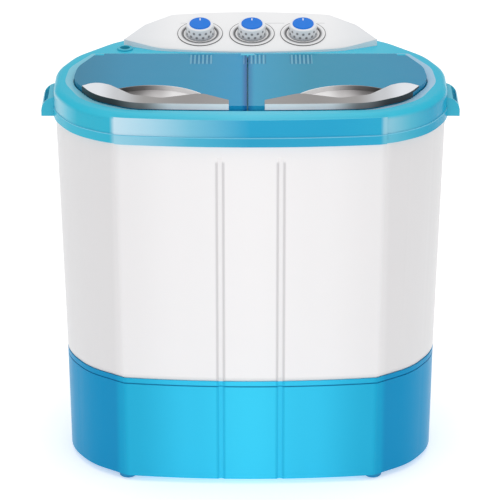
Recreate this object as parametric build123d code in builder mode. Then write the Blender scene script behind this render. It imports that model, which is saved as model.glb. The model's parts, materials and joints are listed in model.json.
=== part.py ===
from build123d import *

import math
import os

# Twin tub washer. Millimetres, +Z up, +X to the right, the front faces -Y.
# The origin is on the floor, under the middle of the machine.

# ---------------------------------------------------------------- driving dimensions
FOOT_HEIGHT = 8
SEAM_Z = 160  # base skirt below, white cabinet above
CABINET_TOP_Z = 511
BAND_Z = 524  # top of the frame's lower band
FRAME_TOP_Z = 553
REAR_Y = 172  # flat back wall
COVER_Y = 174  # outside of the service cover

WALL = 3
FRAME_WALL = 3.5

BASE_HALF_WIDTH = 256
SEAM_HALF_WIDTH = 258
CABINET_HALF_WIDTH = 266
FRAME_HALF_WIDTH = 268
BASE_FRONT_Y = -166
SEAM_FRONT_Y = -167
CABINET_FRONT_Y = -170
FRAME_FRONT_Y = -172
CREASE_X = 182
HANDLE_X = 285  # outermost point of the carry handles

DIVIDER_X = -4  # gap between the two lids
LID_TOP_Z = 557
LID_BOTTOM_Z = 554
RECESS_EDGE_Z = 550
RECESS_FLOOR_Z = 546
RECESS_UNDER_Z = 543.5
ROOF_Z = 547  # underside of the frame's top outside the recess
HINGE_Y = 60
HINGE_Z = 552
HINGE_RADIUS = 5
HINGE_PIN_RADIUS = 2
GRIP_TOP_Z = 560

WASH_X, WASH_Y = -121, -39
WASH_FLOOR_Z = 178
SPIN_X, SPIN_Y = 112, -36
SPIN_FLOOR_Z = 168
SPIN_WELL_RADIUS = 94
BASKET_RADIUS = 80
BASKET_BOTTOM_Z = 186
BASKET_TOP_Z = 500

PANEL_FRONT_Y = 74
PANEL_REAR_Y = 175
PANEL_SLOPE = 13
PANEL_EDGE = 2  # height of the panel's front edge above the frame
PANEL_WALL = 2.5
KNOB_Y = 119
KNOB_XS = {"wash_timer": -71, "drain_selector": 2, "spin_timer": 74}
KNOB_RADIUS = 20.5
KNOB_HEIGHT = 16

SHAFT_RADIUS = 8
SPIN_SHAFT_RADIUS = 7
RUNNING_FIT = 0.05
PULLEY_RADIUS = 68
MOTOR_PULLEY_RADIUS = 13
BELT_Z = 111
MOTOR_X, MOTOR_Y = -75, 100
MOTOR_RADIUS = 46
SPIN_MOTOR_RADIUS = 50
DRUM_RADIUS = 42

VALVE_X, VALVE_Y = 2, 88
VALVE_RADIUS = 18
SPIGOT_X, SPIGOT_Z = 150, 45
SPIGOT_RADIUS = 10
INLET_X, INLET_Y = -176, 90
INLET_BORE = 7


def body_outline(height, half_width, front, grow=0.0):
    """The machine's plan: bowed front up to a crease, round corners, flat back."""
    crease_x = half_width - 83
    crease_y = front + 12
    right = [
        (half_width - 32, front + 46),
        (half_width, front + 98),
        (half_width, 12),
        (half_width - 22, 62),
        (half_width - 68, 107),
        (118, REAR_Y),
    ]
    left = [(-x, y) for x, y in reversed(right)]
    with BuildSketch(Plane.XY.offset(height)) as outline:
        with BuildLine():
            ThreePointArc((-crease_x, crease_y), (0, front), (crease_x, crease_y))
            Polyline((crease_x, crease_y), *right, *left, (-crease_x, crease_y))
        make_face()
        fillet(outline.vertices().filter_by(lambda v: crease_y + 1 < v.Y < 100), radius=100)
        fillet(outline.vertices().filter_by(lambda v: abs(v.Y - 107) < 1), radius=40)
        fillet(outline.vertices().filter_by(lambda v: v.Y > 160), radius=25)
        if grow:
            offset(amount=grow, kind=Kind.INTERSECTION)
    return outline.sketch


def frame_outline(height, grow=0.0):
    """The top frame's plan: fuller at the front corners than the cabinet below it."""
    right = [
        (CREASE_X + 7, FRAME_FRONT_Y + 12),
        (239, -127),
        (FRAME_HALF_WIDTH, -70),
        (FRAME_HALF_WIDTH, 14),
        (FRAME_HALF_WIDTH - 22, 67),
        (197, 122),
        (122, REAR_Y + 0.5),
    ]
    left = [(-x, y) for x, y in reversed(right)]
    with BuildSketch(Plane.XY.offset(height)) as outline:
        with BuildLine():
            ThreePointArc(left[-1], (0, FRAME_FRONT_Y), right[0])
            Polyline(*right, *left)
        make_face()
        fillet(outline.vertices().filter_by(lambda v: v.Y < 160), radius=100)
        fillet(outline.vertices().filter_by(lambda v: v.Y > 160), radius=25)
        if grow:
            offset(amount=grow, kind=Kind.INTERSECTION)
    return outline.sketch


def lids_outline(height, front, right, grow=0.0):
    """Plan of the closed lids or of the bevel round them: bowed front, round corners."""
    rear_y = right[-1][1]
    left = [(-x, y) for x, y in reversed(right)]
    with BuildSketch(Plane.XY.offset(height)) as outline:
        with BuildLine():
            ThreePointArc(left[-1], (0, front), right[0])
            Polyline(*right, *left)
        make_face()
        fillet(outline.vertices().filter_by(lambda v: v.Y < rear_y - 1), radius=75)
        fillet(outline.vertices().filter_by(lambda v: v.Y > rear_y - 1), radius=5)
        if grow:
            offset(amount=grow, kind=Kind.INTERSECTION)
    return outline.sketch


def bevel_outline(height):
    """Outer edge of the bevel that leads down to the lids."""
    return lids_outline(height, -150, [(176, -145), (228, -108), (254, -42), (250, 16), (221, 72)])


def lid_outline(height, grow=0.0):
    """Outline of the two closed lids together."""
    edge = [(158, -136.5), (210, -106), (242, -42), (238, 8), (212, 66)]
    return lids_outline(height, -141, edge, grow)


def wash_outline(height, grow=0.0):
    """Plan of the wash tub's inside, with one corner cut to follow the cabinet."""
    points = [(-16, -128), (-150, -128), (-226, -56), (-226, 50), (-16, 50)]
    with BuildSketch(Plane.XY.offset(height)) as outline:
        with BuildLine():
            Polyline(*points, close=True)
        make_face()
        fillet(outline.vertices(), radius=26)
        if grow:
            offset(amount=grow, kind=Kind.INTERSECTION)
    return outline.sketch


def panel_outline(height, grow=0.0):
    """Plan of the control panel: swept front edge, pointed ends, rounded back."""
    with BuildSketch(Plane.XY.offset(height)) as outline:
        with BuildLine():
            ThreePointArc((-130, 83), (0, PANEL_FRONT_Y), (130, 83))
            Polyline((130, 83), (178, 105), (150, 142), (112, 168))
            ThreePointArc((112, 168), (0, PANEL_REAR_Y), (-112, 168))
            Polyline((-112, 168), (-150, 142), (-178, 105), (-130, 83))
        make_face()
        fillet(outline.vertices().filter_by(lambda v: v.Y < 90), radius=80)
        fillet(outline.vertices().filter_by(lambda v: v.Y > 120), radius=20)
        if grow:
            offset(amount=grow, kind=Kind.INTERSECTION)
    return outline.sketch


def panel_plane(x, y, lift=0.0):
    """Plane of the sloping panel top at one point, raised by `lift` along its normal."""
    angle = math.radians(PANEL_SLOPE)
    normal = Vector(0, -math.sin(angle), math.cos(angle))
    top = FRAME_TOP_Z + PANEL_EDGE + (y - PANEL_FRONT_Y) * math.tan(angle)
    return Plane(origin=Vector(x, y, top) + normal * lift, x_dir=(1, 0, 0), z_dir=normal)


def save(name, part):
    """Label one finished piece and write it as its own node."""
    part.label = name
    export_step(part, f"parts/{name}.step")
    print(name, round(part.volume))


os.makedirs("parts", exist_ok=True)

# ---------------------------------------------------------------- base skirt and feet
BASE_FLOOR_Z = 11
GROOVE_Z = 151.5
CHANNEL_X = 41
CHANNEL_RADIUS = 6
CHANNEL_DEPTH = 1.8

with BuildPart() as base_skirt:
    base_low = body_outline(FOOT_HEIGHT, BASE_HALF_WIDTH, BASE_FRONT_Y)
    base_high = body_outline(SEAM_Z, SEAM_HALF_WIDTH, SEAM_FRONT_Y)
    loft(sections=[base_low, base_high], ruled=True)
    inner_low = body_outline(BASE_FLOOR_Z, BASE_HALF_WIDTH, BASE_FRONT_Y, -WALL)
    inner_high = body_outline(SEAM_Z, SEAM_HALF_WIDTH, SEAM_FRONT_Y, -WALL)
    loft(sections=[inner_low, inner_high], ruled=True, mode=Mode.SUBTRACT)
    # shadow groove a little below the seam
    with BuildSketch(Plane.XY.offset(GROOVE_Z)):
        add(body_outline(0, SEAM_HALF_WIDTH, SEAM_FRONT_Y, 1))
        add(body_outline(0, SEAM_HALF_WIDTH, SEAM_FRONT_Y, -1.2), mode=Mode.SUBTRACT)
    extrude(amount=1.6, mode=Mode.SUBTRACT)
    # locating lip inside the cabinet
    with BuildSketch(Plane.XY.offset(SEAM_Z - 4)):
        add(body_outline(0, SEAM_HALF_WIDTH, SEAM_FRONT_Y, -WALL - 0.4))
        add(body_outline(0, SEAM_HALF_WIDTH, SEAM_FRONT_Y, -WALL - 2.4), mode=Mode.SUBTRACT)
    extrude(amount=10)
    with BuildSketch(Plane.XY.offset(SEAM_Z - 4)):
        add(body_outline(0, SEAM_HALF_WIDTH, SEAM_FRONT_Y, -WALL + 0.4))
        add(body_outline(0, SEAM_HALF_WIDTH, SEAM_FRONT_Y, -WALL - 2.4), mode=Mode.SUBTRACT)
    extrude(amount=3)
    # upright channels on the front
    for side in (-1, 1):
        foot_plane = Plane.XY.offset(FOOT_HEIGHT)
        seam_plane = Plane.XY.offset(SEAM_Z)
        reach = CHANNEL_RADIUS - CHANNEL_DEPTH
        with BuildSketch(foot_plane) as channel_low:
            with Locations((side * CHANNEL_X, BASE_FRONT_Y + 0.6 - reach)):
                Circle(CHANNEL_RADIUS)
        with BuildSketch(seam_plane) as channel_high:
            with Locations((side * CHANNEL_X, SEAM_FRONT_Y + 0.6 - reach)):
                Circle(CHANNEL_RADIUS)
        loft(sections=[channel_low.sketch, channel_high.sketch], mode=Mode.SUBTRACT)
    # motor access at the back, air slots in the floor, drain and cord holes
    with BuildSketch(Plane.XZ.offset(-REAR_Y - 1)):
        with Locations((0, 102)):
            Rectangle(170, 104)
    extrude(amount=WALL + 4, mode=Mode.SUBTRACT)
    with BuildSketch(Plane.XY.offset(FOOT_HEIGHT)):
        with GridLocations(40, 34, 9, 4):
            SlotOverall(26, 5)
    extrude(amount=WALL, mode=Mode.SUBTRACT)
    with BuildSketch(Plane.XZ.offset(-REAR_Y)):
        with Locations((SPIGOT_X, SPIGOT_Z)):
            Circle(SPIGOT_RADIUS + 0.4)
    extrude(amount=50, mode=Mode.SUBTRACT)
    with BuildSketch(Plane.XZ.offset(-REAR_Y)):
        with Locations((-SPIGOT_X, SPIGOT_Z)):
            Circle(7.4)
    extrude(amount=50, mode=Mode.SUBTRACT)
save("base_skirt", base_skirt.part)

FOOT_PLACES = [(-172, -136), (172, -136), (-165, 108), (165, 108)]
FOOT_RADIUS = 12

with BuildPart() as feet:
    with BuildSketch():
        with Locations(*FOOT_PLACES):
            Circle(FOOT_RADIUS)
    extrude(amount=FOOT_HEIGHT)
    chamfer(feet.edges().group_by(Axis.Z)[0], length=1.2)
save("feet", feet.part)

# ---------------------------------------------------------------- cabinet
CHANNEL_TOP_Z = 487

with BuildPart() as cabinet:
    cabinet_foot = body_outline(SEAM_Z, SEAM_HALF_WIDTH - 1.4, SEAM_FRONT_Y + 1.4)
    cabinet_low = body_outline(SEAM_Z + 3, SEAM_HALF_WIDTH, SEAM_FRONT_Y)
    cabinet_high = body_outline(CABINET_TOP_Z, CABINET_HALF_WIDTH, CABINET_FRONT_Y)
    loft(sections=[cabinet_foot, cabinet_low, cabinet_high], ruled=True)
    hollow_low = body_outline(SEAM_Z, SEAM_HALF_WIDTH, SEAM_FRONT_Y, -WALL)
    hollow_high = body_outline(CABINET_TOP_Z, CABINET_HALF_WIDTH, CABINET_FRONT_Y, -WALL)
    loft(sections=[hollow_low, hollow_high], ruled=True, mode=Mode.SUBTRACT)
    rise = (CHANNEL_TOP_Z - SEAM_Z) / (CABINET_TOP_Z - SEAM_Z)
    channel_top_y = SEAM_FRONT_Y + rise * (CABINET_FRONT_Y - SEAM_FRONT_Y) + 0.6
    reach = CHANNEL_RADIUS - CHANNEL_DEPTH
    for side in (-1, 1):
        with BuildSketch(Plane.XY.offset(SEAM_Z)) as channel_low:
            with Locations((side * CHANNEL_X, SEAM_FRONT_Y + 0.6 - reach)):
                Circle(CHANNEL_RADIUS)
        with BuildSketch(Plane.XY.offset(CHANNEL_TOP_Z)) as channel_high:
            with Locations((side * CHANNEL_X, channel_top_y - reach)):
                Circle(CHANNEL_RADIUS)
        loft(sections=[channel_low.sketch, channel_high.sketch], mode=Mode.SUBTRACT)
    # upper part of the motor access, behind
    with BuildSketch(Plane.XZ.offset(-REAR_Y - 1)):
        with Locations((0, 225)):
            Rectangle(170, 110)
    extrude(amount=WALL + 4, mode=Mode.SUBTRACT)
save("cabinet", cabinet.part)

COVER_PLACE = (0, 165)
COVER_SCREWS = [(x, y) for x in (-91, 91) for y in (-115, 0, 115)]
SCREW_HEAD = 1.4

with BuildPart() as rear_service_cover:
    with BuildSketch(Plane.XZ.offset(-COVER_Y)):
        with Locations(COVER_PLACE):
            RectangleRounded(196, 246, 8)
    extrude(amount=COVER_Y - REAR_Y)
    with BuildSketch(Plane.XZ.offset(-COVER_Y)):
        with Locations(COVER_PLACE):
            with GridLocations(56, 12, 2, 12):
                SlotOverall(44, 4)
    extrude(amount=COVER_Y - REAR_Y, mode=Mode.SUBTRACT)
    with BuildSketch(Plane.XZ.offset(-COVER_Y)):
        with Locations(COVER_PLACE):
            with Locations(*COVER_SCREWS):
                Circle(1.8)
    extrude(amount=COVER_Y - REAR_Y, mode=Mode.SUBTRACT)
save("rear_service_cover", rear_service_cover.part)

with BuildPart() as rear_cover_screws:
    with BuildSketch(Plane.XZ.offset(-COVER_Y - SCREW_HEAD)):
        with Locations(COVER_PLACE):
            with Locations(*COVER_SCREWS):
                Circle(3.6)
    extrude(amount=SCREW_HEAD)
    with BuildSketch(Plane.XZ.offset(-COVER_Y)):
        with Locations(COVER_PLACE):
            with Locations(*COVER_SCREWS):
                Circle(1.7)
    extrude(amount=COVER_Y - REAR_Y)
    with BuildSketch(Plane.XZ.offset(-COVER_Y - SCREW_HEAD)):
        with Locations(COVER_PLACE):
            with Locations(*COVER_SCREWS):
                Rectangle(4.4, 0.8)
                Rectangle(0.8, 4.4)
    extrude(amount=0.6, mode=Mode.SUBTRACT)
save("rear_cover_screws", rear_cover_screws.part)

# ---------------------------------------------------------------- top frame
FASCIA_TOP_Z = 549
BAND_PROUD = 1.2
FASCIA_PROUD = 2.2
ROLL_RADIUS = 10
FRAME_LEDGE = 10
SPIN_OPENING_RADIUS = 84
BOSS_RADIUS = 4.4
BOSS_END_X = 216
END_BOSS_X = 204  # inner face of the boss at each end of the hinge line
MIDDLE_BOSS = (DIVIDER_X - 9, DIVIDER_X + 9)
PIN_HOLES = [(-214, DIVIDER_X - 1), (DIVIDER_X + 1, 214)]

with BuildPart() as fascia:
    extrude(to_extrude=frame_outline(CABINET_TOP_Z, FASCIA_PROUD), amount=FASCIA_TOP_Z - CABINET_TOP_Z)
    extrude(
        to_extrude=frame_outline(CABINET_TOP_Z, FASCIA_PROUD + BAND_PROUD),
        amount=BAND_Z - CABINET_TOP_Z,
    )
    with BuildSketch(Plane.XY.offset(CABINET_TOP_Z)):
        with Locations((0, -165)):
            Rectangle(2 * CREASE_X, 40)
    extrude(amount=60, mode=Mode.INTERSECT)

with BuildPart() as top_frame:
    extrude(to_extrude=frame_outline(CABINET_TOP_Z), amount=FRAME_TOP_Z - CABINET_TOP_Z)
    fillet(top_frame.edges().group_by(Axis.Z)[-1], radius=ROLL_RADIUS)
    extrude(to_extrude=frame_outline(CABINET_TOP_Z, BAND_PROUD), amount=BAND_Z - CABINET_TOP_Z)
    add(fascia.part)
    # bevel down to the lids, the recess they lie in and the two openings
    bevel_low = lid_outline(RECESS_EDGE_Z, 1.5)
    bevel_high = bevel_outline(FRAME_TOP_Z)
    loft(sections=[bevel_low, bevel_high], ruled=True, mode=Mode.SUBTRACT)
    extrude(to_extrude=lid_outline(RECESS_FLOOR_Z, 1.5), amount=10, mode=Mode.SUBTRACT)
    extrude(to_extrude=wash_outline(CABINET_TOP_Z), amount=60, mode=Mode.SUBTRACT)
    with BuildSketch(Plane.XY.offset(CABINET_TOP_Z)):
        with Locations((SPIN_X, SPIN_Y)):
            Circle(SPIN_OPENING_RADIUS)
    extrude(amount=60, mode=Mode.SUBTRACT)
    # hollow underside
    extrude(to_extrude=frame_outline(CABINET_TOP_Z, -FRAME_LEDGE), amount=3, mode=Mode.SUBTRACT)
    extrude(to_extrude=frame_outline(CABINET_TOP_Z + 3, -FRAME_WALL), amount=26, mode=Mode.SUBTRACT)
    extrude(
        to_extrude=frame_outline(CABINET_TOP_Z + 29, -FRAME_LEDGE),
        amount=RECESS_UNDER_Z - CABINET_TOP_Z - 29,
        mode=Mode.SUBTRACT,
    )
    with BuildSketch(Plane.XY.offset(RECESS_UNDER_Z)):
        add(frame_outline(0, -FRAME_LEDGE))
        add(lid_outline(0, 4), mode=Mode.SUBTRACT)
    extrude(amount=ROOF_Z - RECESS_UNDER_Z, mode=Mode.SUBTRACT)
    # opening under the control panel for the timers
    with BuildSketch(Plane.XY.offset(RECESS_UNDER_Z)):
        with Locations((0, 122)):
            RectangleRounded(240, 70, 8)
    extrude(amount=20, mode=Mode.SUBTRACT)
    # hinge bosses: a rail across the recess, cut away except at its ends and middle
    with BuildSketch(Plane.YZ.offset(-BOSS_END_X)):
        with Locations((HINGE_Y, HINGE_Z)):
            Circle(BOSS_RADIUS)
        with Locations((HINGE_Y, (RECESS_FLOOR_Z - 1 + HINGE_Z) / 2)):
            Rectangle(2 * BOSS_RADIUS, HINGE_Z - RECESS_FLOOR_Z + 1)
    extrude(amount=2 * BOSS_END_X)
    for near, far in ((MIDDLE_BOSS[1], END_BOSS_X), (-END_BOSS_X, MIDDLE_BOSS[0])):
        with BuildSketch(Plane.YZ.offset(near)):
            with Locations((HINGE_Y, RECESS_FLOOR_Z + 10)):
                Rectangle(2 * BOSS_RADIUS + 1, 20)
        extrude(amount=far - near, mode=Mode.SUBTRACT)
    for start, end in PIN_HOLES:
        with BuildSketch(Plane.YZ.offset(start)):
            with Locations((HINGE_Y, HINGE_Z)):
                Circle(HINGE_PIN_RADIUS)
        extrude(amount=end - start, mode=Mode.SUBTRACT)
    # water inlet hole in the left shoulder
    with BuildSketch(Plane.XY.offset(RECESS_UNDER_Z)):
        with Locations((INLET_X, INLET_Y)):
            Circle(9)
    extrude(amount=FRAME_TOP_Z - RECESS_UNDER_Z, mode=Mode.SUBTRACT)
save("top_frame", top_frame.part)

with BuildPart() as hinge_pins:
    for start, end in PIN_HOLES:
        with BuildSketch(Plane.YZ.offset(start)):
            with Locations((HINGE_Y, HINGE_Z)):
                Circle(HINGE_PIN_RADIUS)
        extrude(amount=end - start)
save("hinge_pins", hinge_pins.part)

# ---------------------------------------------------------------- carry handles
HANDLE_FRONT_Y, HANDLE_REAR_Y = -60, -4
HANDLE_TOP_Z = 538
HANDLE_WALL = 3

for handle_name, side in (("carry_handle_left", -1), ("carry_handle_right", 1)):
    with BuildPart() as handle:
        with BuildSketch(Plane.XZ.offset(-HANDLE_REAR_Y)) as handle_profile:
            with BuildLine():
                Line((side * 250, CABINET_TOP_Z), (side * HANDLE_X, CABINET_TOP_Z))
                Line((side * HANDLE_X, CABINET_TOP_Z), (side * HANDLE_X, HANDLE_TOP_Z - 20))
                RadiusArc(
                    (side * HANDLE_X, HANDLE_TOP_Z - 20),
                    (side * (HANDLE_X - 18), HANDLE_TOP_Z),
                    side * -20,
                )
                Line((side * (HANDLE_X - 18), HANDLE_TOP_Z), (side * 250, HANDLE_TOP_Z))
                Line((side * 250, HANDLE_TOP_Z), (side * 250, CABINET_TOP_Z))
            make_face()
        extrude(amount=HANDLE_REAR_Y - HANDLE_FRONT_Y)
        # finger hollow, open below
        with BuildSketch(Plane.XY.offset(CABINET_TOP_Z)):
            with Locations((side * (HANDLE_X - HANDLE_WALL - 20), (HANDLE_FRONT_Y + HANDLE_REAR_Y) / 2)):
                Rectangle(40, HANDLE_REAR_Y - HANDLE_FRONT_Y - 2 * HANDLE_WALL)
        extrude(amount=24, mode=Mode.SUBTRACT)
        add(top_frame.part, mode=Mode.SUBTRACT)
        extrude(to_extrude=frame_outline(CABINET_TOP_Z - 1), amount=60, mode=Mode.SUBTRACT)
    save(handle_name, handle.part)

# ---------------------------------------------------------------- control panel
DIAL_RADIUS = 32
DIAL_INNER_RADIUS = 23.5
SPINDLE_RADIUS = 3

with BuildPart() as panel_hollow:
    extrude(to_extrude=panel_outline(FRAME_TOP_Z - 1, -PANEL_WALL), amount=40)
    split(bisect_by=panel_plane(0, PANEL_FRONT_Y, -PANEL_WALL), keep=Keep.BOTTOM)

with BuildPart() as control_panel:
    extrude(to_extrude=panel_outline(FRAME_TOP_Z), amount=40)
    split(bisect_by=panel_plane(0, PANEL_FRONT_Y), keep=Keep.BOTTOM)
    add(panel_hollow.part, mode=Mode.SUBTRACT)
    for knob_x in KNOB_XS.values():
        with BuildSketch(panel_plane(knob_x, KNOB_Y, 1)):
            Circle(SPINDLE_RADIUS + 1.5)
        extrude(amount=-10, mode=Mode.SUBTRACT)
save("control_panel", control_panel.part)

with BuildPart() as dial_rings:
    for knob_x in KNOB_XS.values():
        with BuildSketch(panel_plane(knob_x, KNOB_Y)):
            Circle(DIAL_RADIUS)
            Circle(DIAL_INNER_RADIUS, mode=Mode.SUBTRACT)
        extrude(amount=1)
save("dial_rings", dial_rings.part)

KNOB_GAP = 0.8
CAP_RADIUS = 15
CAP_RECESS = 2
TIMER_DEPTH = 28
FLUTES = 24

for control, knob_x in KNOB_XS.items():
    knob_foot = panel_plane(knob_x, KNOB_Y, KNOB_GAP)
    knob_top = panel_plane(knob_x, KNOB_Y, KNOB_GAP + KNOB_HEIGHT)
    with BuildPart() as knob:
        with BuildSketch(knob_foot):
            Circle(KNOB_RADIUS)
        extrude(amount=KNOB_HEIGHT, taper=6)
        fillet(knob.edges().sort_by(Axis.Z)[-1], radius=2)
        with BuildSketch(knob_top):
            Circle(CAP_RADIUS)
        extrude(amount=-CAP_RECESS, mode=Mode.SUBTRACT)
        with BuildSketch(knob_foot):
            with PolarLocations(KNOB_RADIUS + 0.4, FLUTES):
                Circle(1.2)
        extrude(amount=KNOB_HEIGHT - 3, taper=4, mode=Mode.SUBTRACT)
        with BuildSketch(knob_foot):
            Circle(KNOB_RADIUS - 4.5)
            Circle(SPINDLE_RADIUS + 2.5, mode=Mode.SUBTRACT)
        extrude(amount=KNOB_HEIGHT - 6, mode=Mode.SUBTRACT)
        # spindle reaching down into the timer
        with BuildSketch(knob_foot):
            Circle(SPINDLE_RADIUS)
        extrude(amount=-TIMER_DEPTH)
    save(f"{control}_knob", knob.part)

    with BuildPart() as cap:
        with BuildSketch(panel_plane(knob_x, KNOB_Y, KNOB_GAP + KNOB_HEIGHT - CAP_RECESS)):
            Circle(CAP_RADIUS)
        extrude(amount=CAP_RECESS + 1.6)
        fillet(cap.edges().sort_by(Axis.Z)[-1], radius=1.5)
    save(f"{control}_cap", cap.part)

    with BuildPart() as timer:
        with BuildSketch(panel_plane(knob_x, KNOB_Y, -PANEL_WALL)):
            RectangleRounded(44, 40, 4)
        extrude(amount=-TIMER_DEPTH)
        with BuildSketch(panel_plane(knob_x, KNOB_Y, -PANEL_WALL)):
            Circle(SPINDLE_RADIUS + RUNNING_FIT)
        extrude(amount=-TIMER_DEPTH, mode=Mode.SUBTRACT)
    save(f"{control}_switch", timer.part)

# ---------------------------------------------------------------- lids and grips
LID_SKIRT = 2.5
LID_SKIRT_Z = RECESS_FLOOR_Z + 0.4
LID_GAP = 1
GRIP_APRON = 1.3
GRIP_APRON_Z = 551.5
SCOOP_BOTTOM_Z = 550.5
SCOOP_TOP_Z = 558.5
SCOOP_WALL = 1.5
HINGE_CLEAR = 0.5
RIB_PITCH = 5.6


def grip_outline(height, side, end_x):
    """Plan of the grip: it follows the lid's front edge and has a wavy rear edge."""
    wave = [(229, -74), (210, -58), (190, -70), (160, -106), (120, -119), (66, -101)]
    rear_edge = [(side * x, y) for x, y in wave]
    with BuildSketch(Plane.XY.offset(height)) as outline:
        with BuildLine():
            Polyline(*rear_edge, (end_x, -127), (end_x, -160), (side * 250, -160), close=True)
        make_face()
        waves = outline.vertices().filter_by(lambda v: abs(v.X) < 228 and v.Y > -120)
        fillet(waves, radius=18)
        add(lid_outline(0, GRIP_APRON), mode=Mode.INTERSECT)
    return outline.sketch


def scoop_outline(height, side, grow=0.0):
    """Lens-shaped finger hollow behind the grip."""
    inner_tip, outer_tip = (side * 60, -108), (side * 184, -84)
    with BuildSketch(Plane.XY.offset(height)) as outline:
        with BuildLine():
            ThreePointArc(outer_tip, (side * 125, -120), inner_tip)
            ThreePointArc(inner_tip, (side * 129, -67), outer_tip)
        make_face()
        if grow:
            offset(amount=grow, kind=Kind.INTERSECTION)
    return outline.sketch


LIDS = {
    "wash_lid": (-1, DIVIDER_X - LID_GAP, -29, (-68,)),
    "spin_lid": (1, DIVIDER_X + LID_GAP, 19, (6, 70)),
}
for lid_name, (side, edge_x, grip_end_x, rib_groups) in LIDS.items():
    middle_x = edge_x + side * 150
    barrel_near = (DIVIDER_X + side * (9 + HINGE_CLEAR))
    barrel_far = side * (END_BOSS_X - HINGE_CLEAR)
    with BuildPart() as lid:
        extrude(to_extrude=lid_outline(LID_BOTTOM_Z), amount=LID_TOP_Z - LID_BOTTOM_Z)
        with BuildSketch(Plane.XY.offset(LID_SKIRT_Z)):
            add(lid_outline(0))
            add(lid_outline(0, -LID_SKIRT), mode=Mode.SUBTRACT)
        extrude(amount=LID_BOTTOM_Z - LID_SKIRT_Z)
        # this lid's half, stopping at the hinge line
        with BuildSketch(Plane.XY.offset(LID_SKIRT_Z - 1)):
            with Locations((middle_x, HINGE_Y - 150)):
                Rectangle(300, 300)
        extrude(amount=30, mode=Mode.INTERSECT)
        # relief round the hinge bosses, then the barrel with its bore
        with BuildSketch(Plane.XY.offset(LID_SKIRT_Z - 1)):
            with Locations((middle_x, HINGE_Y)):
                Rectangle(300, 12)
        extrude(amount=30, mode=Mode.SUBTRACT)
        with BuildSketch(Plane.YZ.offset(min(barrel_near, barrel_far))):
            with Locations((HINGE_Y, HINGE_Z)):
                Circle(HINGE_RADIUS)
            with Locations((HINGE_Y - 4, (LID_TOP_Z + LID_BOTTOM_Z) / 2)):
                Rectangle(8, LID_TOP_Z - LID_BOTTOM_Z)
        extrude(amount=abs(barrel_far - barrel_near))
        with BuildSketch(Plane.YZ.offset(-220)):
            with Locations((HINGE_Y, HINGE_Z)):
                Circle(HINGE_PIN_RADIUS + RUNNING_FIT)
        extrude(amount=440, mode=Mode.SUBTRACT)
        # ribs that stiffen the plate in front of the hinge
        for group_x in rib_groups:
            with BuildSketch(Plane.XY.offset(LID_SKIRT_Z + 2)):
                with Locations((group_x, 42)):
                    with GridLocations(RIB_PITCH, 1, 4, 1):
                        Rectangle(1.8, 24)
            extrude(amount=LID_BOTTOM_Z - LID_SKIRT_Z - 2)
        extrude(to_extrude=scoop_outline(LID_BOTTOM_Z, side), amount=5, mode=Mode.SUBTRACT)
    save(lid_name, lid.part)

    with BuildPart() as grip:
        extrude(to_extrude=grip_outline(LID_TOP_Z, side, grip_end_x), amount=GRIP_TOP_Z - LID_TOP_Z)
        with BuildSketch(Plane.XY.offset(GRIP_APRON_Z)):
            add(lid_outline(0, GRIP_APRON))
            add(lid_outline(0), mode=Mode.SUBTRACT)
            with Locations((grip_end_x + side * 100, -112)):
                Rectangle(200, 80, mode=Mode.INTERSECT)
        extrude(amount=SCOOP_TOP_Z - GRIP_APRON_Z)
        extrude(to_extrude=scoop_outline(SCOOP_BOTTOM_Z, side), amount=SCOOP_TOP_Z - SCOOP_BOTTOM_Z)
        extrude(
            to_extrude=scoop_outline(SCOOP_BOTTOM_Z + SCOOP_WALL, side, -SCOOP_WALL),
            amount=SCOOP_TOP_Z - SCOOP_BOTTOM_Z - SCOOP_WALL,
            mode=Mode.SUBTRACT,
        )
    save(f"{lid_name}_grip", grip.part)

# ---------------------------------------------------------------- tubs
TUB_WALL = 2.5
FLANGE_THICKNESS = 2.5
WASH_DRAIN = (-40, 30)
SPIN_DRAIN = (58, -12)
DRAIN_BORE = 7
PIPE_RADIUS = 9
HOUSING_RADIUS = 15
SEAL_RADIUS = 28
INLET_TUB_Z = 518

with BuildPart() as wash_tub:
    extrude(
        to_extrude=wash_outline(WASH_FLOOR_Z - WALL, TUB_WALL),
        amount=RECESS_UNDER_Z - WASH_FLOOR_Z + WALL,
    )
    extrude(to_extrude=wash_outline(RECESS_UNDER_Z - FLANGE_THICKNESS, 10), amount=FLANGE_THICKNESS)
    extrude(to_extrude=wash_outline(WASH_FLOOR_Z), amount=400, mode=Mode.SUBTRACT)
    # scrubbing ribs on the front wall
    with BuildSketch(Plane.XY.offset(WASH_FLOOR_Z + 60)):
        with Locations((-84, -128)):
            with GridLocations(22, 1, 5, 1):
                Circle(3)
    extrude(amount=240)
    with BuildSketch(Plane.XY.offset(WASH_FLOOR_Z - WALL)):
        with Locations((WASH_X, WASH_Y)):
            Circle(HOUSING_RADIUS + 0.2)
        with Locations(WASH_DRAIN):
            Circle(DRAIN_BORE)
    extrude(amount=WALL, mode=Mode.SUBTRACT)
    with BuildSketch(Plane.XZ.offset(-60)):
        with Locations((INLET_X, INLET_TUB_Z)):
            Circle(INLET_BORE)
    extrude(amount=20, mode=Mode.SUBTRACT)
save("wash_tub", wash_tub.part)

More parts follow.
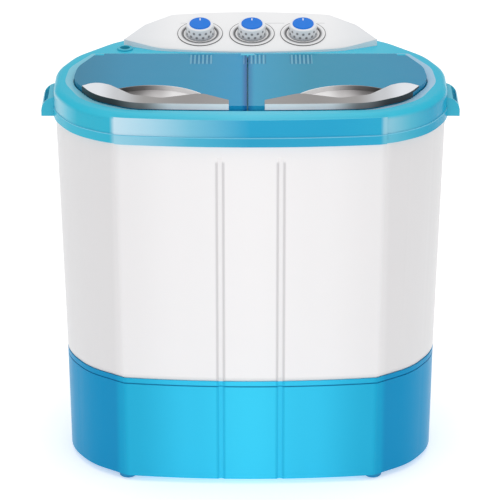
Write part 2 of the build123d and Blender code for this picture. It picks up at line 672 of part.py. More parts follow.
with BuildPart() as spin_outer_tub:
    with BuildSketch(Plane.XY.offset(SPIN_FLOOR_Z - WALL)):
        with Locations((SPIN_X, SPIN_Y)):
            Circle(SPIN_WELL_RADIUS + TUB_WALL)
    extrude(amount=RECESS_UNDER_Z - SPIN_FLOOR_Z + WALL)
    with BuildSketch(Plane.XY.offset(RECESS_UNDER_Z - FLANGE_THICKNESS)):
        with Locations((SPIN_X, SPIN_Y)):
            Circle(SPIN_WELL_RADIUS + 9)
    extrude(amount=FLANGE_THICKNESS)
    with BuildSketch(Plane.XY.offset(SPIN_FLOOR_Z)):
        with Locations((SPIN_X, SPIN_Y)):
            Circle(SPIN_WELL_RADIUS)
    extrude(amount=400, mode=Mode.SUBTRACT)
    with BuildSketch(Plane.XY.offset(SPIN_FLOOR_Z - WALL)):
        with Locations((SPIN_X, SPIN_Y)):
            Circle(SEAL_RADIUS)
        with Locations(SPIN_DRAIN):
            Circle(DRAIN_BORE)
    extrude(amount=WALL, mode=Mode.SUBTRACT)
save("spin_outer_tub", spin_outer_tub.part)

# ---------------------------------------------------------------- water inlet
PORT_DEPTH = 15
PORT_RADIUS = 9
PORT_FLANGE_RADIUS = 11
PORT_FLANGE = 2.5
ELBOW_BORE = 6.5

with BuildPart() as water_inlet_port:
    with BuildSketch(Plane.XY.offset(FRAME_TOP_Z - PORT_DEPTH)):
        with Locations((INLET_X, INLET_Y)):
            Circle(PORT_RADIUS)
    extrude(amount=PORT_DEPTH)
    with BuildSketch(Plane.XY.offset(FRAME_TOP_Z)):
        with Locations((INLET_X, INLET_Y)):
            Circle(PORT_FLANGE_RADIUS)
    extrude(amount=PORT_FLANGE)
    fillet(water_inlet_port.edges().sort_by(Axis.Z)[-1], radius=1.2)
    with BuildSketch(Plane.XY.offset(FRAME_TOP_Z - PORT_DEPTH)):
        with Locations((INLET_X, INLET_Y)):
            Circle(INLET_BORE)
    extrude(amount=PORT_DEPTH + PORT_FLANGE, mode=Mode.SUBTRACT)
save("water_inlet_port", water_inlet_port.part)

with BuildPart() as inlet_elbow:
    with BuildLine() as inlet_path:
        FilletPolyline(
            (INLET_X, INLET_Y, FRAME_TOP_Z - PORT_DEPTH),
            (INLET_X, INLET_Y, INLET_TUB_Z),
            (INLET_X, 50 + TUB_WALL, INLET_TUB_Z),
            radius=12,
        )
    with BuildSketch(Plane.XY.offset(FRAME_TOP_Z - PORT_DEPTH)):
        with Locations((INLET_X, INLET_Y)):
            Circle(PORT_RADIUS)
            Circle(ELBOW_BORE, mode=Mode.SUBTRACT)
    sweep(path=inlet_path.line)
save("inlet_elbow", inlet_elbow.part)

# ---------------------------------------------------------------- lint filter
FILTER_LOW_Z, FILTER_HIGH_Z = 374, 460
FILTER_Y = -40

with BuildPart() as lint_filter_holder:
    with BuildSketch(Plane.XY.offset(FILTER_LOW_Z - 4)):
        with Locations((-21, FILTER_Y)):
            Rectangle(10, 70)
    extrude(amount=FILTER_HIGH_Z - FILTER_LOW_Z + 4)
    with BuildSketch(Plane.XY.offset(FILTER_LOW_Z)):
        with Locations((-20.6, FILTER_Y)):
            Rectangle(5, 60.8)
    extrude(amount=FILTER_HIGH_Z, mode=Mode.SUBTRACT)
    with BuildSketch(Plane.YZ.offset(-30)):
        with Locations((FILTER_Y, (FILTER_LOW_Z + FILTER_HIGH_Z) / 2)):
            Rectangle(46, 66)
    extrude(amount=8, mode=Mode.SUBTRACT)
save("lint_filter_holder", lint_filter_holder.part)

with BuildPart() as lint_filter:
    with BuildSketch(Plane.XY.offset(FILTER_LOW_Z + 0.3)):
        with Locations((-20.6, FILTER_Y)):
            Rectangle(4.2, 60)
    extrude(amount=FILTER_HIGH_Z - FILTER_LOW_Z + 2)
    with BuildSketch(Plane.YZ.offset(-30)):
        with Locations((FILTER_Y, (FILTER_LOW_Z + FILTER_HIGH_Z) / 2)):
            with GridLocations(11, 13, 4, 5):
                Rectangle(8.4, 10.4)
    extrude(amount=8.6, mode=Mode.SUBTRACT)
    # finger tab
    with BuildSketch(Plane.XY.offset(FILTER_HIGH_Z + 2.3)):
        with Locations((-20.6, FILTER_Y)):
            Rectangle(4.2, 22)
    extrude(amount=9)
save("lint_filter", lint_filter.part)

# ---------------------------------------------------------------- wash drive
PULSATOR_RADIUS = 74
PULSATOR_Z = 184.5
HOUSING_TOP_Z = 182
SHAFT_LOW_Z = 98
SHAFT_HIGH_Z = 203
PULLEY_LOW_Z, PULLEY_HIGH_Z = 104, 118
GROOVE_DEPTH = 7
BELT_HALF_WIDTH = 4
MOTOR_SHAFT_RADIUS = 4
MOTOR_LOW_Z, MOTOR_HIGH_Z = 18, 92

with BuildPart() as bearing_housing:
    with BuildSketch(Plane.XY.offset(WASH_FLOOR_Z - WALL - 6)):
        with Locations((WASH_X, WASH_Y)):
            Circle(36)
    extrude(amount=6)
    with BuildSketch(Plane.XY.offset(PULLEY_HIGH_Z + 7)):
        with Locations((WASH_X, WASH_Y)):
            Circle(HOUSING_RADIUS)
    extrude(amount=HOUSING_TOP_Z - PULLEY_HIGH_Z - 7)
    with BuildSketch(Plane.XY.offset(PULLEY_HIGH_Z + 7)):
        with Locations((WASH_X, WASH_Y)):
            Circle(SHAFT_RADIUS + RUNNING_FIT)
    extrude(amount=80, mode=Mode.SUBTRACT)
    with BuildSketch(Plane.XY.offset(WASH_FLOOR_Z - WALL - 6)):
        with Locations((WASH_X, WASH_Y)):
            with PolarLocations(28, 4):
                Circle(2.2)
    extrude(amount=6, mode=Mode.SUBTRACT)
save("bearing_housing", bearing_housing.part)

with BuildPart() as housing_nut:
    with BuildSketch(Plane.XY.offset(WASH_FLOOR_Z)):
        with Locations((WASH_X, WASH_Y)):
            RegularPolygon(24, 6)
            Circle(HOUSING_RADIUS, mode=Mode.SUBTRACT)
    extrude(amount=3.5)
save("housing_nut", housing_nut.part)

with BuildPart() as shaft_seal:
    with BuildSketch(Plane.XY.offset(HOUSING_TOP_Z)):
        with Locations((WASH_X, WASH_Y)):
            Circle(13)
            Circle(SHAFT_RADIUS + RUNNING_FIT, mode=Mode.SUBTRACT)
    extrude(amount=2)
save("shaft_seal", shaft_seal.part)

with BuildPart() as pulsator_shaft:
    with BuildSketch(Plane.XY.offset(SHAFT_LOW_Z)):
        with Locations((WASH_X, WASH_Y)):
            Circle(SHAFT_RADIUS)
    extrude(amount=SHAFT_HIGH_Z - SHAFT_LOW_Z)
    chamfer(pulsator_shaft.edges().sort_by(Axis.Z)[0], length=1)
save("pulsator_shaft", pulsator_shaft.part)

with BuildPart() as pulsator:
    with BuildSketch(Plane.XY.offset(PULSATOR_Z)):
        with Locations((WASH_X, WASH_Y)):
            Circle(PULSATOR_RADIUS)
    extrude(amount=5)
    fillet(pulsator.edges().group_by(Axis.Z)[-1], radius=2)
    with BuildSketch(Plane.XY.offset(PULSATOR_Z + 5)):
        with Locations((WASH_X, WASH_Y)):
            Circle(20)
    extrude(amount=SHAFT_HIGH_Z - PULSATOR_Z, taper=12)
    # swept fins
    with BuildSketch(Plane.XY.offset(PULSATOR_Z + 4)):
        with Locations((WASH_X, WASH_Y)):
            with PolarLocations(0, 4):
                with Locations((40, 6)):
                    SlotOverall(58, 11, rotation=14)
    extrude(amount=18, taper=10)
    with BuildSketch(Plane.XY.offset(PULSATOR_Z)):
        with Locations((WASH_X, WASH_Y)):
            Circle(SHAFT_RADIUS)
    extrude(amount=SHAFT_HIGH_Z - PULSATOR_Z, mode=Mode.SUBTRACT)
    with BuildSketch(Plane.XY.offset(SHAFT_HIGH_Z)):
        with Locations((WASH_X, WASH_Y)):
            Circle(11)
    extrude(amount=20, mode=Mode.SUBTRACT)
    with BuildSketch(Plane.XY.offset(PULSATOR_Z)):
        with Locations((WASH_X, WASH_Y)):
            with PolarLocations(60, 12, start_angle=15):
                Circle(2.5)
    extrude(amount=5, mode=Mode.SUBTRACT)
save("pulsator", pulsator.part)

with BuildPart() as pulsator_screw:
    with BuildSketch(Plane.XY.offset(SHAFT_HIGH_Z)):
        with Locations((WASH_X, WASH_Y)):
            RegularPolygon(9, 6)
    extrude(amount=4.5)
    with BuildSketch(Plane.XY.offset(SHAFT_HIGH_Z + 3)):
        with Locations((WASH_X, WASH_Y)):
            Rectangle(10, 1.6)
    extrude(amount=3, mode=Mode.SUBTRACT)
save("pulsator_screw", pulsator_screw.part)

with BuildPart() as drive_pulley:
    with BuildSketch(Plane.XY.offset(PULLEY_LOW_Z)):
        with Locations((WASH_X, WASH_Y)):
            Circle(PULLEY_RADIUS)
    extrude(amount=PULLEY_HIGH_Z - PULLEY_LOW_Z)
    # belt groove
    with BuildSketch(Plane.XY.offset(BELT_Z - BELT_HALF_WIDTH)):
        with Locations((WASH_X, WASH_Y)):
            Circle(PULLEY_RADIUS + 1)
            Circle(PULLEY_RADIUS - GROOVE_DEPTH, mode=Mode.SUBTRACT)
    extrude(amount=2 * BELT_HALF_WIDTH, mode=Mode.SUBTRACT)
    # web between rim and hub
    for web_z in (PULLEY_LOW_Z, BELT_Z + 1.5):
        with BuildSketch(Plane.XY.offset(web_z)):
            with Locations((WASH_X, WASH_Y)):
                Circle(PULLEY_RADIUS - GROOVE_DEPTH - 4)
                Circle(SHAFT_RADIUS + 7, mode=Mode.SUBTRACT)
        extrude(amount=5.5, mode=Mode.SUBTRACT)
    with BuildSketch(Plane.XY.offset(PULLEY_LOW_Z)):
        with Locations((WASH_X, WASH_Y)):
            Circle(SHAFT_RADIUS)
            with PolarLocations(36, 5):
                Circle(10)
    extrude(amount=PULLEY_HIGH_Z - PULLEY_LOW_Z, mode=Mode.SUBTRACT)
save("drive_pulley", drive_pulley.part)

with BuildPart() as motor_pulley:
    with BuildSketch(Plane.XY.offset(PULLEY_LOW_Z)):
        with Locations((MOTOR_X, MOTOR_Y)):
            Circle(MOTOR_PULLEY_RADIUS)
    extrude(amount=PULLEY_HIGH_Z - PULLEY_LOW_Z)
    with BuildSketch(Plane.XY.offset(BELT_Z - BELT_HALF_WIDTH)):
        with Locations((MOTOR_X, MOTOR_Y)):
            Circle(MOTOR_PULLEY_RADIUS + 1)
            Circle(MOTOR_PULLEY_RADIUS - 6, mode=Mode.SUBTRACT)
    extrude(amount=2 * BELT_HALF_WIDTH, mode=Mode.SUBTRACT)
    # rotor shaft
    with BuildSketch(Plane.XY.offset(MOTOR_LOW_Z + 12)):
        with Locations((MOTOR_X, MOTOR_Y)):
            Circle(MOTOR_SHAFT_RADIUS)
    extrude(amount=PULLEY_HIGH_Z + 3 - MOTOR_LOW_Z - 12)
save("motor_pulley", motor_pulley.part)

with BuildPart() as drive_belt:
    with BuildSketch(Plane.XY.offset(BELT_Z - BELT_HALF_WIDTH + 0.3)):
        with BuildSketch(mode=Mode.PRIVATE) as belt_outside:
            with Locations((WASH_X, WASH_Y)):
                Circle(PULLEY_RADIUS - GROOVE_DEPTH + RUNNING_FIT + 6)
            with Locations((MOTOR_X, MOTOR_Y)):
                Circle(MOTOR_PULLEY_RADIUS - 6 + RUNNING_FIT + 6)
            make_hull()
        with BuildSketch(mode=Mode.PRIVATE) as belt_inside:
            with Locations((WASH_X, WASH_Y)):
                Circle(PULLEY_RADIUS - GROOVE_DEPTH + RUNNING_FIT)
            with Locations((MOTOR_X, MOTOR_Y)):
                Circle(MOTOR_PULLEY_RADIUS - 6 + RUNNING_FIT)
            make_hull()
        add(belt_outside.sketch)
        add(belt_inside.sketch, mode=Mode.SUBTRACT)
    extrude(amount=2 * BELT_HALF_WIDTH - 0.6)
save("drive_belt", drive_belt.part)

with BuildPart() as wash_motor:
    with BuildSketch(Plane.XY.offset(MOTOR_LOW_Z)):
        with Locations((MOTOR_X, MOTOR_Y)):
            Circle(MOTOR_RADIUS - 8)
    extrude(amount=MOTOR_HIGH_Z - MOTOR_LOW_Z)
    # laminated stator between the two end bells
    with BuildSketch(Plane.XY.offset(MOTOR_LOW_Z + 16)):
        with Locations((MOTOR_X, MOTOR_Y)):
            RectangleRounded(2 * MOTOR_RADIUS - 8, 2 * MOTOR_RADIUS - 8, 14)
    extrude(amount=42)
    chamfer(wash_motor.edges().group_by(Axis.Z)[-1], length=4)
    with BuildSketch(Plane.XY.offset(MOTOR_LOW_Z + 11)):
        with Locations((MOTOR_X, MOTOR_Y)):
            Circle(MOTOR_SHAFT_RADIUS + RUNNING_FIT)
    extrude(amount=100, mode=Mode.SUBTRACT)
save("wash_motor", wash_motor.part)

with BuildPart() as motor_cradle:
    with BuildSketch(Plane.XY.offset(BASE_FLOOR_Z)):
        with Locations((MOTOR_X, MOTOR_Y)):
            RectangleRounded(96, 84, 8)
    extrude(amount=MOTOR_LOW_Z - BASE_FLOOR_Z)
    with BuildSketch(Plane.XY.offset(BASE_FLOOR_Z)):
        with Locations((MOTOR_X, MOTOR_Y)):
            RectangleRounded(76, 84, 4)
    extrude(amount=4, mode=Mode.SUBTRACT)
save("motor_cradle", motor_cradle.part)

# ---------------------------------------------------------------- spin drive
BALANCE_RING_Z = 484
BASKET_WALL = 1.5
SPIN_SHAFT_LOW_Z = 112.5
BASKET_HUB_Z = 206
DRUM_LOW_Z, DRUM_HIGH_Z = 136, 152
SPIN_MOTOR_LOW_Z, SPIN_MOTOR_HIGH_Z = 50, 112
PLATE_Z = 46
SPRING_CIRCLE = 56
SPRING_RADIUS = 8
PRESS_PLATE_Z = 214

with BuildPart() as spin_basket:
    with BuildSketch(Plane.XY.offset(BASKET_BOTTOM_Z)):
        with Locations((SPIN_X, SPIN_Y)):
            Circle(BASKET_RADIUS)
    extrude(amount=BASKET_TOP_Z - BASKET_BOTTOM_Z)
    fillet(spin_basket.edges().group_by(Axis.Z)[0], radius=6)
    with BuildSketch(Plane.XY.offset(BASKET_BOTTOM_Z + 3)):
        with Locations((SPIN_X, SPIN_Y)):
            Circle(BASKET_RADIUS - BASKET_WALL)
    extrude(amount=BALANCE_RING_Z - BASKET_BOTTOM_Z - 3, mode=Mode.SUBTRACT)
    with BuildSketch(Plane.XY.offset(BALANCE_RING_Z)):
        with Locations((SPIN_X, SPIN_Y)):
            Circle(BASKET_RADIUS - 11)
    extrude(amount=40, mode=Mode.SUBTRACT)
    with BuildSketch(Plane.XY.offset(BASKET_BOTTOM_Z)):
        with Locations((SPIN_X, SPIN_Y)):
            Circle(22)
    extrude(amount=BASKET_HUB_Z - BASKET_BOTTOM_Z, taper=20)
    with BuildSketch(Plane.XY.offset(BASKET_BOTTOM_Z)):
        with Locations((SPIN_X, SPIN_Y)):
            Circle(SPIN_SHAFT_RADIUS)
            with PolarLocations(52, 16):
                Circle(3)
    extrude(amount=40, mode=Mode.SUBTRACT)
    # drain slots round the wall, in staggered rows
    for row in range(6):
        for column in range(6):
            slot_plane = Plane(
                origin=(SPIN_X, SPIN_Y, BASKET_BOTTOM_Z + 40 + 44 * row),
                x_dir=(0, 0, 1),
                z_dir=Vector(1, 0, 0).rotate(Axis.Z, 30 * column + 15 * (row % 2)),
            )
            with BuildSketch(slot_plane):
                SlotOverall(26, 3.6)
            extrude(amount=BASKET_RADIUS + 2, both=True, mode=Mode.SUBTRACT)
save("spin_basket", spin_basket.part)

with BuildPart() as spin_shaft:
    with BuildSketch(Plane.XY.offset(SPIN_SHAFT_LOW_Z)):
        with Locations((SPIN_X, SPIN_Y)):
            Circle(SPIN_SHAFT_RADIUS)
    extrude(amount=BASKET_HUB_Z + 3 - SPIN_SHAFT_LOW_Z)
    chamfer(spin_shaft.edges().sort_by(Axis.Z)[-1], length=1.5)
save("spin_shaft", spin_shaft.part)

with BuildPart() as brake_drum:
    with BuildSketch(Plane.XY.offset(DRUM_LOW_Z)):
        with Locations((SPIN_X, SPIN_Y)):
            Circle(DRUM_RADIUS)
    extrude(amount=DRUM_HIGH_Z - DRUM_LOW_Z)
    with BuildSketch(Plane.XY.offset(DRUM_LOW_Z)):
        with Locations((SPIN_X, SPIN_Y)):
            Circle(DRUM_RADIUS - 4)
            Circle(13, mode=Mode.SUBTRACT)
    extrude(amount=DRUM_HIGH_Z - DRUM_LOW_Z - 4, mode=Mode.SUBTRACT)
    with BuildSketch(Plane.XY.offset(DRUM_LOW_Z)):
        with Locations((SPIN_X, SPIN_Y)):
            Circle(SPIN_SHAFT_RADIUS)
    extrude(amount=DRUM_HIGH_Z - DRUM_LOW_Z, mode=Mode.SUBTRACT)
save("brake_drum", brake_drum.part)

BELLOWS = [(158, 162, 24), (162, 165, 33), (165, 168, SEAL_RADIUS), (168, 171, 33), (171, 178, 18)]

with BuildPart() as bellows_seal:
    for low, high, radius in BELLOWS:
        with BuildSketch(Plane.XY.offset(low)):
            with Locations((SPIN_X, SPIN_Y)):
                Circle(radius)
        extrude(amount=high - low)
    with BuildSketch(Plane.XY.offset(158)):
        with Locations((SPIN_X, SPIN_Y)):
            Circle(SPIN_SHAFT_RADIUS + RUNNING_FIT)
    extrude(amount=30, mode=Mode.SUBTRACT)
save("bellows_seal", bellows_seal.part)

with BuildPart() as spin_motor:
    with BuildSketch(Plane.XY.offset(SPIN_MOTOR_LOW_Z)):
        with Locations((SPIN_X, SPIN_Y)):
            Circle(SPIN_MOTOR_RADIUS)
    extrude(amount=SPIN_MOTOR_HIGH_Z - SPIN_MOTOR_LOW_Z)
    chamfer(spin_motor.edges().group_by(Axis.Z)[-1], length=8)
    # cooling slots round the body
    with BuildSketch(Plane.XY.offset(SPIN_MOTOR_LOW_Z + 14)):
        with Locations((SPIN_X, SPIN_Y)):
            with PolarLocations(SPIN_MOTOR_RADIUS, 24):
                Rectangle(5, 3)
    extrude(amount=28, mode=Mode.SUBTRACT)
    with BuildSketch(Plane.XY.offset(PLATE_Z)):
        with Locations((SPIN_X, SPIN_Y)):
            RegularPolygon(70, 3, rotation=30)
    extrude(amount=SPIN_MOTOR_LOW_Z - PLATE_Z)
save("spin_motor", spin_motor.part)

SPRING_PLACES = [
    Vector(SPRING_CIRCLE, 0, 0).rotate(Axis.Z, 30 + 120 * leg)
    + Vector(SPIN_X, SPIN_Y, BASE_FLOOR_Z + 1.6)
    for leg in range(3)
]

with BuildPart() as suspension_springs:
    for place in SPRING_PLACES:
        with BuildLine(Plane(origin=place)):
            coil = Helix(pitch=6, height=31, radius=SPRING_RADIUS)
        with BuildSketch(Plane(origin=coil @ 0, z_dir=coil % 0)):
            Circle(1.3)
        sweep(path=coil, is_frenet=True)
save("suspension_springs", suspension_springs.part)

BRAKE_PIVOT = (160, 17)
BRAKE_GAP = 2  # between pad and drum while the brake is off
LEVER_LOW_Z = 141
LEVER_THICKNESS = 5.5

with BuildPart() as brake_bracket:
    with BuildSketch(Plane.XY.offset(LEVER_LOW_Z - 2)):
        with Locations(BRAKE_PIVOT):
            Circle(3)
    extrude(amount=SPIN_FLOOR_Z - WALL - LEVER_LOW_Z + 2)
    with BuildSketch(Plane.XY.offset(LEVER_LOW_Z + 6)):
        with Locations(BRAKE_PIVOT):
            Circle(8)
    extrude(amount=SPIN_FLOOR_Z - WALL - LEVER_LOW_Z - 6)
save("brake_bracket", brake_bracket.part)

with BuildPart() as brake_lever:
    with BuildSketch(Plane.XY.offset(LEVER_LOW_Z)):
        with Locations((128, 18)):
            SlotOverall(84, 9)
    extrude(amount=LEVER_THICKNESS)
    with BuildSketch(Plane.XY.offset(LEVER_LOW_Z)):
        with Locations(BRAKE_PIVOT):
            Circle(3 + RUNNING_FIT)
    extrude(amount=LEVER_THICKNESS, mode=Mode.SUBTRACT)
save("brake_lever", brake_lever.part)

with BuildPart() as brake_pad:
    with BuildSketch(Plane.XY.offset(LEVER_LOW_Z)):
        with Locations((SPIN_X, 9.75)):
            Rectangle(24, 7.5)
        with Locations((SPIN_X, SPIN_Y)):
            Circle(DRUM_RADIUS + BRAKE_GAP, mode=Mode.SUBTRACT)
    extrude(amount=LEVER_THICKNESS)
save("brake_pad", brake_pad.part)

with BuildPart() as press_plate:
    with BuildSketch(Plane.XY.offset(PRESS_PLATE_Z)):
        with Locations((SPIN_X, SPIN_Y)):
            Circle(64)
            with PolarLocations(46, 12):
                Circle(5, mode=Mode.SUBTRACT)
            with PolarLocations(28, 6):
                Circle(5, mode=Mode.SUBTRACT)
    extrude(amount=4)
    with BuildSketch(Plane.XY.offset(PRESS_PLATE_Z + 4)):
        with Locations((SPIN_X, SPIN_Y)):
            Circle(64)
            Circle(61, mode=Mode.SUBTRACT)
            Rectangle(34, 4)
    extrude(amount=6)
save("press_plate", press_plate.part)

# ---------------------------------------------------------------- drain
VALVE_LOW_Z, VALVE_HIGH_Z = 112, 158
PIPE_Z = 140
ROD_TOP_Z = 528
ROD_RADIUS = 3


def pipe_end(start):
    """Point on the valve's wall that faces the tub outlet at `start`."""
    line = Vector(VALVE_X, VALVE_Y, 0) - Vector(start[0], start[1], 0)
    end = Vector(VALVE_X, VALVE_Y, 0) - line.normalized() * VALVE_RADIUS
    return (end.X, end.Y, PIPE_Z)


with BuildPart() as drain_valve_body:
    with BuildSketch(Plane.XY.offset(VALVE_LOW_Z)):
        with Locations((VALVE_X, VALVE_Y)):
            Circle(VALVE_RADIUS)
    extrude(amount=VALVE_HIGH_Z - VALVE_LOW_Z)
    with BuildSketch(Plane.XY.offset(VALVE_LOW_Z + 3)):
        with Locations((VALVE_X, VALVE_Y)):
            Circle(VALVE_RADIUS - TUB_WALL)
    extrude(amount=VALVE_HIGH_Z - VALVE_LOW_Z - 6, mode=Mode.SUBTRACT)
    with BuildSketch(Plane.XY.offset(VALVE_LOW_Z)):
        with Locations((VALVE_X, VALVE_Y)):
            Circle(DRAIN_BORE)
    extrude(amount=3, mode=Mode.SUBTRACT)
    with BuildSketch(Plane.XY.offset(VALVE_HIGH_Z - 3)):
        with Locations((VALVE_X, VALVE_Y)):
            Circle(ROD_RADIUS + RUNNING_FIT)
    extrude(amount=3, mode=Mode.SUBTRACT)
    for outlet in (WASH_DRAIN, SPIN_DRAIN):
        port = Vector(*pipe_end(outlet))
        inward = Vector(VALVE_X, VALVE_Y, PIPE_Z) - port
        with BuildSketch(Plane(origin=port - inward * 0.2, z_dir=inward)):
            Circle(DRAIN_BORE)
        extrude(amount=VALVE_RADIUS - 4, mode=Mode.SUBTRACT)
save("drain_valve_body", drain_valve_body.part)

with BuildPart() as drain_valve_plunger:
    with BuildSketch(Plane.XY.offset(VALVE_LOW_Z + 3.3)):
        with Locations((VALVE_X, VALVE_Y)):
            Circle(10)
    extrude(amount=6)
    with BuildSketch(Plane.XY.offset(VALVE_LOW_Z + 9)):
        with Locations((VALVE_X, VALVE_Y)):
            Circle(ROD_RADIUS)
    extrude(amount=ROD_TOP_Z - VALVE_LOW_Z - 9)
    # hook in front of the selector, where its cord pulls
    with BuildSketch(Plane.XY.offset(ROD_TOP_Z - 4)):
        with Locations((VALVE_X, VALVE_Y + 6)):
            Rectangle(8, 20)
    extrude(amount=4)
save("drain_valve_plunger", drain_valve_plunger.part)

for pipe_name, start, start_z in (
    ("wash_drain_pipe", WASH_DRAIN, WASH_FLOOR_Z - WALL),
    ("spin_drain_pipe", SPIN_DRAIN, SPIN_FLOOR_Z - WALL),
):
    with BuildPart() as drain_pipe:
        with BuildLine() as pipe_path:
            FilletPolyline((*start, start_z), (*start, PIPE_Z), pipe_end(start), radius=14)
        with BuildSketch(Plane.XY.offset(start_z)):
            with Locations(start):
                Circle(PIPE_RADIUS)
                Circle(DRAIN_BORE, mode=Mode.SUBTRACT)
        sweep(path=pipe_path.line)
        with BuildSketch(Plane.XY.offset(PIPE_Z - 12)):
            with Locations((VALVE_X, VALVE_Y)):
                Circle(VALVE_RADIUS)
        extrude(amount=24, mode=Mode.SUBTRACT)
    save(pipe_name, drain_pipe.part)

SPIGOT_FRONT_Y = 125
SPIGOT_STEP_Y = 155
SPIGOT_REAR_Y = 173.5
SPIGOT_NECK_RADIUS = 9.5

with BuildPart() as drain_outlet_pipe:
    with BuildLine() as outlet_path:
        FilletPolyline(
            (VALVE_X, VALVE_Y, VALVE_LOW_Z),
            (VALVE_X, VALVE_Y, SPIGOT_Z),
            (SPIGOT_X, 92, SPIGOT_Z),
            (SPIGOT_X, SPIGOT_FRONT_Y, SPIGOT_Z),
            radius=15,
        )
    with BuildSketch(Plane.XY.offset(VALVE_LOW_Z)):
        with Locations((VALVE_X, VALVE_Y)):
            Circle(PIPE_RADIUS)
            Circle(DRAIN_BORE, mode=Mode.SUBTRACT)
    sweep(path=outlet_path.line)
save("drain_outlet_pipe", drain_outlet_pipe.part)

with BuildPart() as drain_spigot:
    with BuildSketch(Plane.XZ.offset(-SPIGOT_REAR_Y)):
        with Locations((SPIGOT_X, SPIGOT_Z)):
            Circle(SPIGOT_RADIUS)
    extrude(amount=SPIGOT_REAR_Y - SPIGOT_STEP_Y)
    with BuildSketch(Plane.XZ.offset(-SPIGOT_REAR_Y)):
        with Locations((SPIGOT_X, SPIGOT_Z)):
            Circle(SPIGOT_NECK_RADIUS)
    extrude(amount=SPIGOT_REAR_Y - SPIGOT_FRONT_Y)
    with BuildSketch(Plane.XZ.offset(-SPIGOT_REAR_Y)):
        with Locations((SPIGOT_X, SPIGOT_Z)):
            Circle(DRAIN_BORE)
    extrude(amount=SPIGOT_REAR_Y - SPIGOT_FRONT_Y, mode=Mode.SUBTRACT)
save("drain_spigot", drain_spigot.part)

# ---------------------------------------------------------------- electrical fittings
GLAND_END_Y, GLAND_SHOULDER_Y, GLAND_FRONT_Y = 172, 158, 126
CORD_BORE = 3.8
CAPACITOR_PLACE = (186, 44)
SWITCH_PLACE = (178, 82)
SWITCH_LOW_Z = 533

with BuildPart() as cord_gland:
    with BuildSketch(Plane.XZ.offset(-GLAND_END_Y)):
        with Locations((-SPIGOT_X, SPIGOT_Z)):
            Circle(5.6)
    extrude(amount=GLAND_END_Y - GLAND_SHOULDER_Y, taper=-5)
    with BuildSketch(Plane.XZ.offset(-GLAND_SHOULDER_Y)):
        with Locations((-SPIGOT_X, SPIGOT_Z)):
            Circle(7.1)
    extrude(amount=GLAND_SHOULDER_Y - GLAND_FRONT_Y)
    with BuildSketch(Plane.XZ.offset(-GLAND_END_Y)):
        with Locations((-SPIGOT_X, SPIGOT_Z)):
            Circle(CORD_BORE)
    extrude(amount=GLAND_END_Y - GLAND_FRONT_Y, mode=Mode.SUBTRACT)
save("cord_gland", cord_gland.part)

with BuildPart() as motor_capacitor:
    with BuildSketch(Plane.XY.offset(BASE_FLOOR_Z)):
        with Locations(CAPACITOR_PLACE):
            Circle(17)
    extrude(amount=62)
    chamfer(motor_capacitor.edges().group_by(Axis.Z)[-1], length=2)
save("motor_capacitor", motor_capacitor.part)

with BuildPart() as lid_switch:
    with BuildSketch(Plane.XY.offset(SWITCH_LOW_Z)):
        with Locations(SWITCH_PLACE):
            RectangleRounded(20, 12, 2)
    extrude(amount=ROOF_Z - SWITCH_LOW_Z)
save("lid_switch", lid_switch.part)
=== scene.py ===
# %% [markdown]
# # A twin tub washer in moulded plastic
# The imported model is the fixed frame. This lesson gives every shell its finish, adds the small
# printed and moulded details that sit on it, and lights it like a product in a white studio.

# %% Load the frame
import json
import math

import bpy
import numpy as np
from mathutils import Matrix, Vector


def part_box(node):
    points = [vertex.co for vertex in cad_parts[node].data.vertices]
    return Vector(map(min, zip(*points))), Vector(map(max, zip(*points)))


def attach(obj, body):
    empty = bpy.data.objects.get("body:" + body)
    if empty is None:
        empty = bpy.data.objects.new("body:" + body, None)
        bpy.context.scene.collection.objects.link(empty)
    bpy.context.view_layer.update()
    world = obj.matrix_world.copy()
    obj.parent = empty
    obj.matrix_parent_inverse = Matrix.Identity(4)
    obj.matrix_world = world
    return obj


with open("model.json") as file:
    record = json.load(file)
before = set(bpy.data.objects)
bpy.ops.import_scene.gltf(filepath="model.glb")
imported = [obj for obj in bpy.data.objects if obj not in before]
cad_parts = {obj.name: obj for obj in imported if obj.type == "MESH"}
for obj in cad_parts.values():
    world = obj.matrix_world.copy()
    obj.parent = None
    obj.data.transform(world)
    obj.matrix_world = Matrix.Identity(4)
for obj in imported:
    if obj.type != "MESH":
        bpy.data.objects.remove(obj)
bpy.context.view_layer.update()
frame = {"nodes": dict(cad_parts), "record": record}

nodes = frame["nodes"]
record = frame["record"]
slot_of = {part["node"]: part["material_slot"] for part in record["subparts"]}
joint_of = {joint["name"]: joint for joint in record["behaviour"]["joints"]}

# %% [markdown]
# ## The studio
# A product shot on white needs a floor that is almost white, so that only the soft contact shadow
# shows. Three choices are common: a curved backdrop, a shadow catcher, or one large pale floor.
# The floor is the simplest and looks right from every side.

# %% Floor
FLOOR_HALF = 30.0
FLOOR_DROP = 0.0004
FLOOR_GLOW = 0.42


def mesh_piece(name, points, faces, smooth=True):
    """Put worked-out points and faces into a new mesh object at the origin."""
    mesh = bpy.data.meshes.new(name)
    mesh.from_pydata(points.tolist(), [], faces.tolist())
    mesh.update()
    mesh.shade_smooth() if smooth else mesh.shade_flat()
    piece = bpy.data.objects.new(name, mesh)
    bpy.context.collection.objects.link(piece)
    return piece


floor_corners = FLOOR_HALF * np.array([[-1, -1, 0], [1, -1, 0], [1, 1, 0], [-1, 1, 0]], float)
floor_corners[:, 2] = -FLOOR_DROP
floor = mesh_piece("studio_floor", floor_corners, np.array([[0, 1, 2, 3]]), smooth=False)
print("floor:", 2 * FLOOR_HALF, "m square")

# %% [markdown]
# ## Light
# The front of the machine is brighter than the slanted faces beside it, and every crease stays
# soft. A bright room gives the even light. A weak box in front lifts the middle, and a stronger one
# overhead brightens the lids and the dials without showing in their gloss.

# %% Lights
WORLD_STRENGTH = 0.65


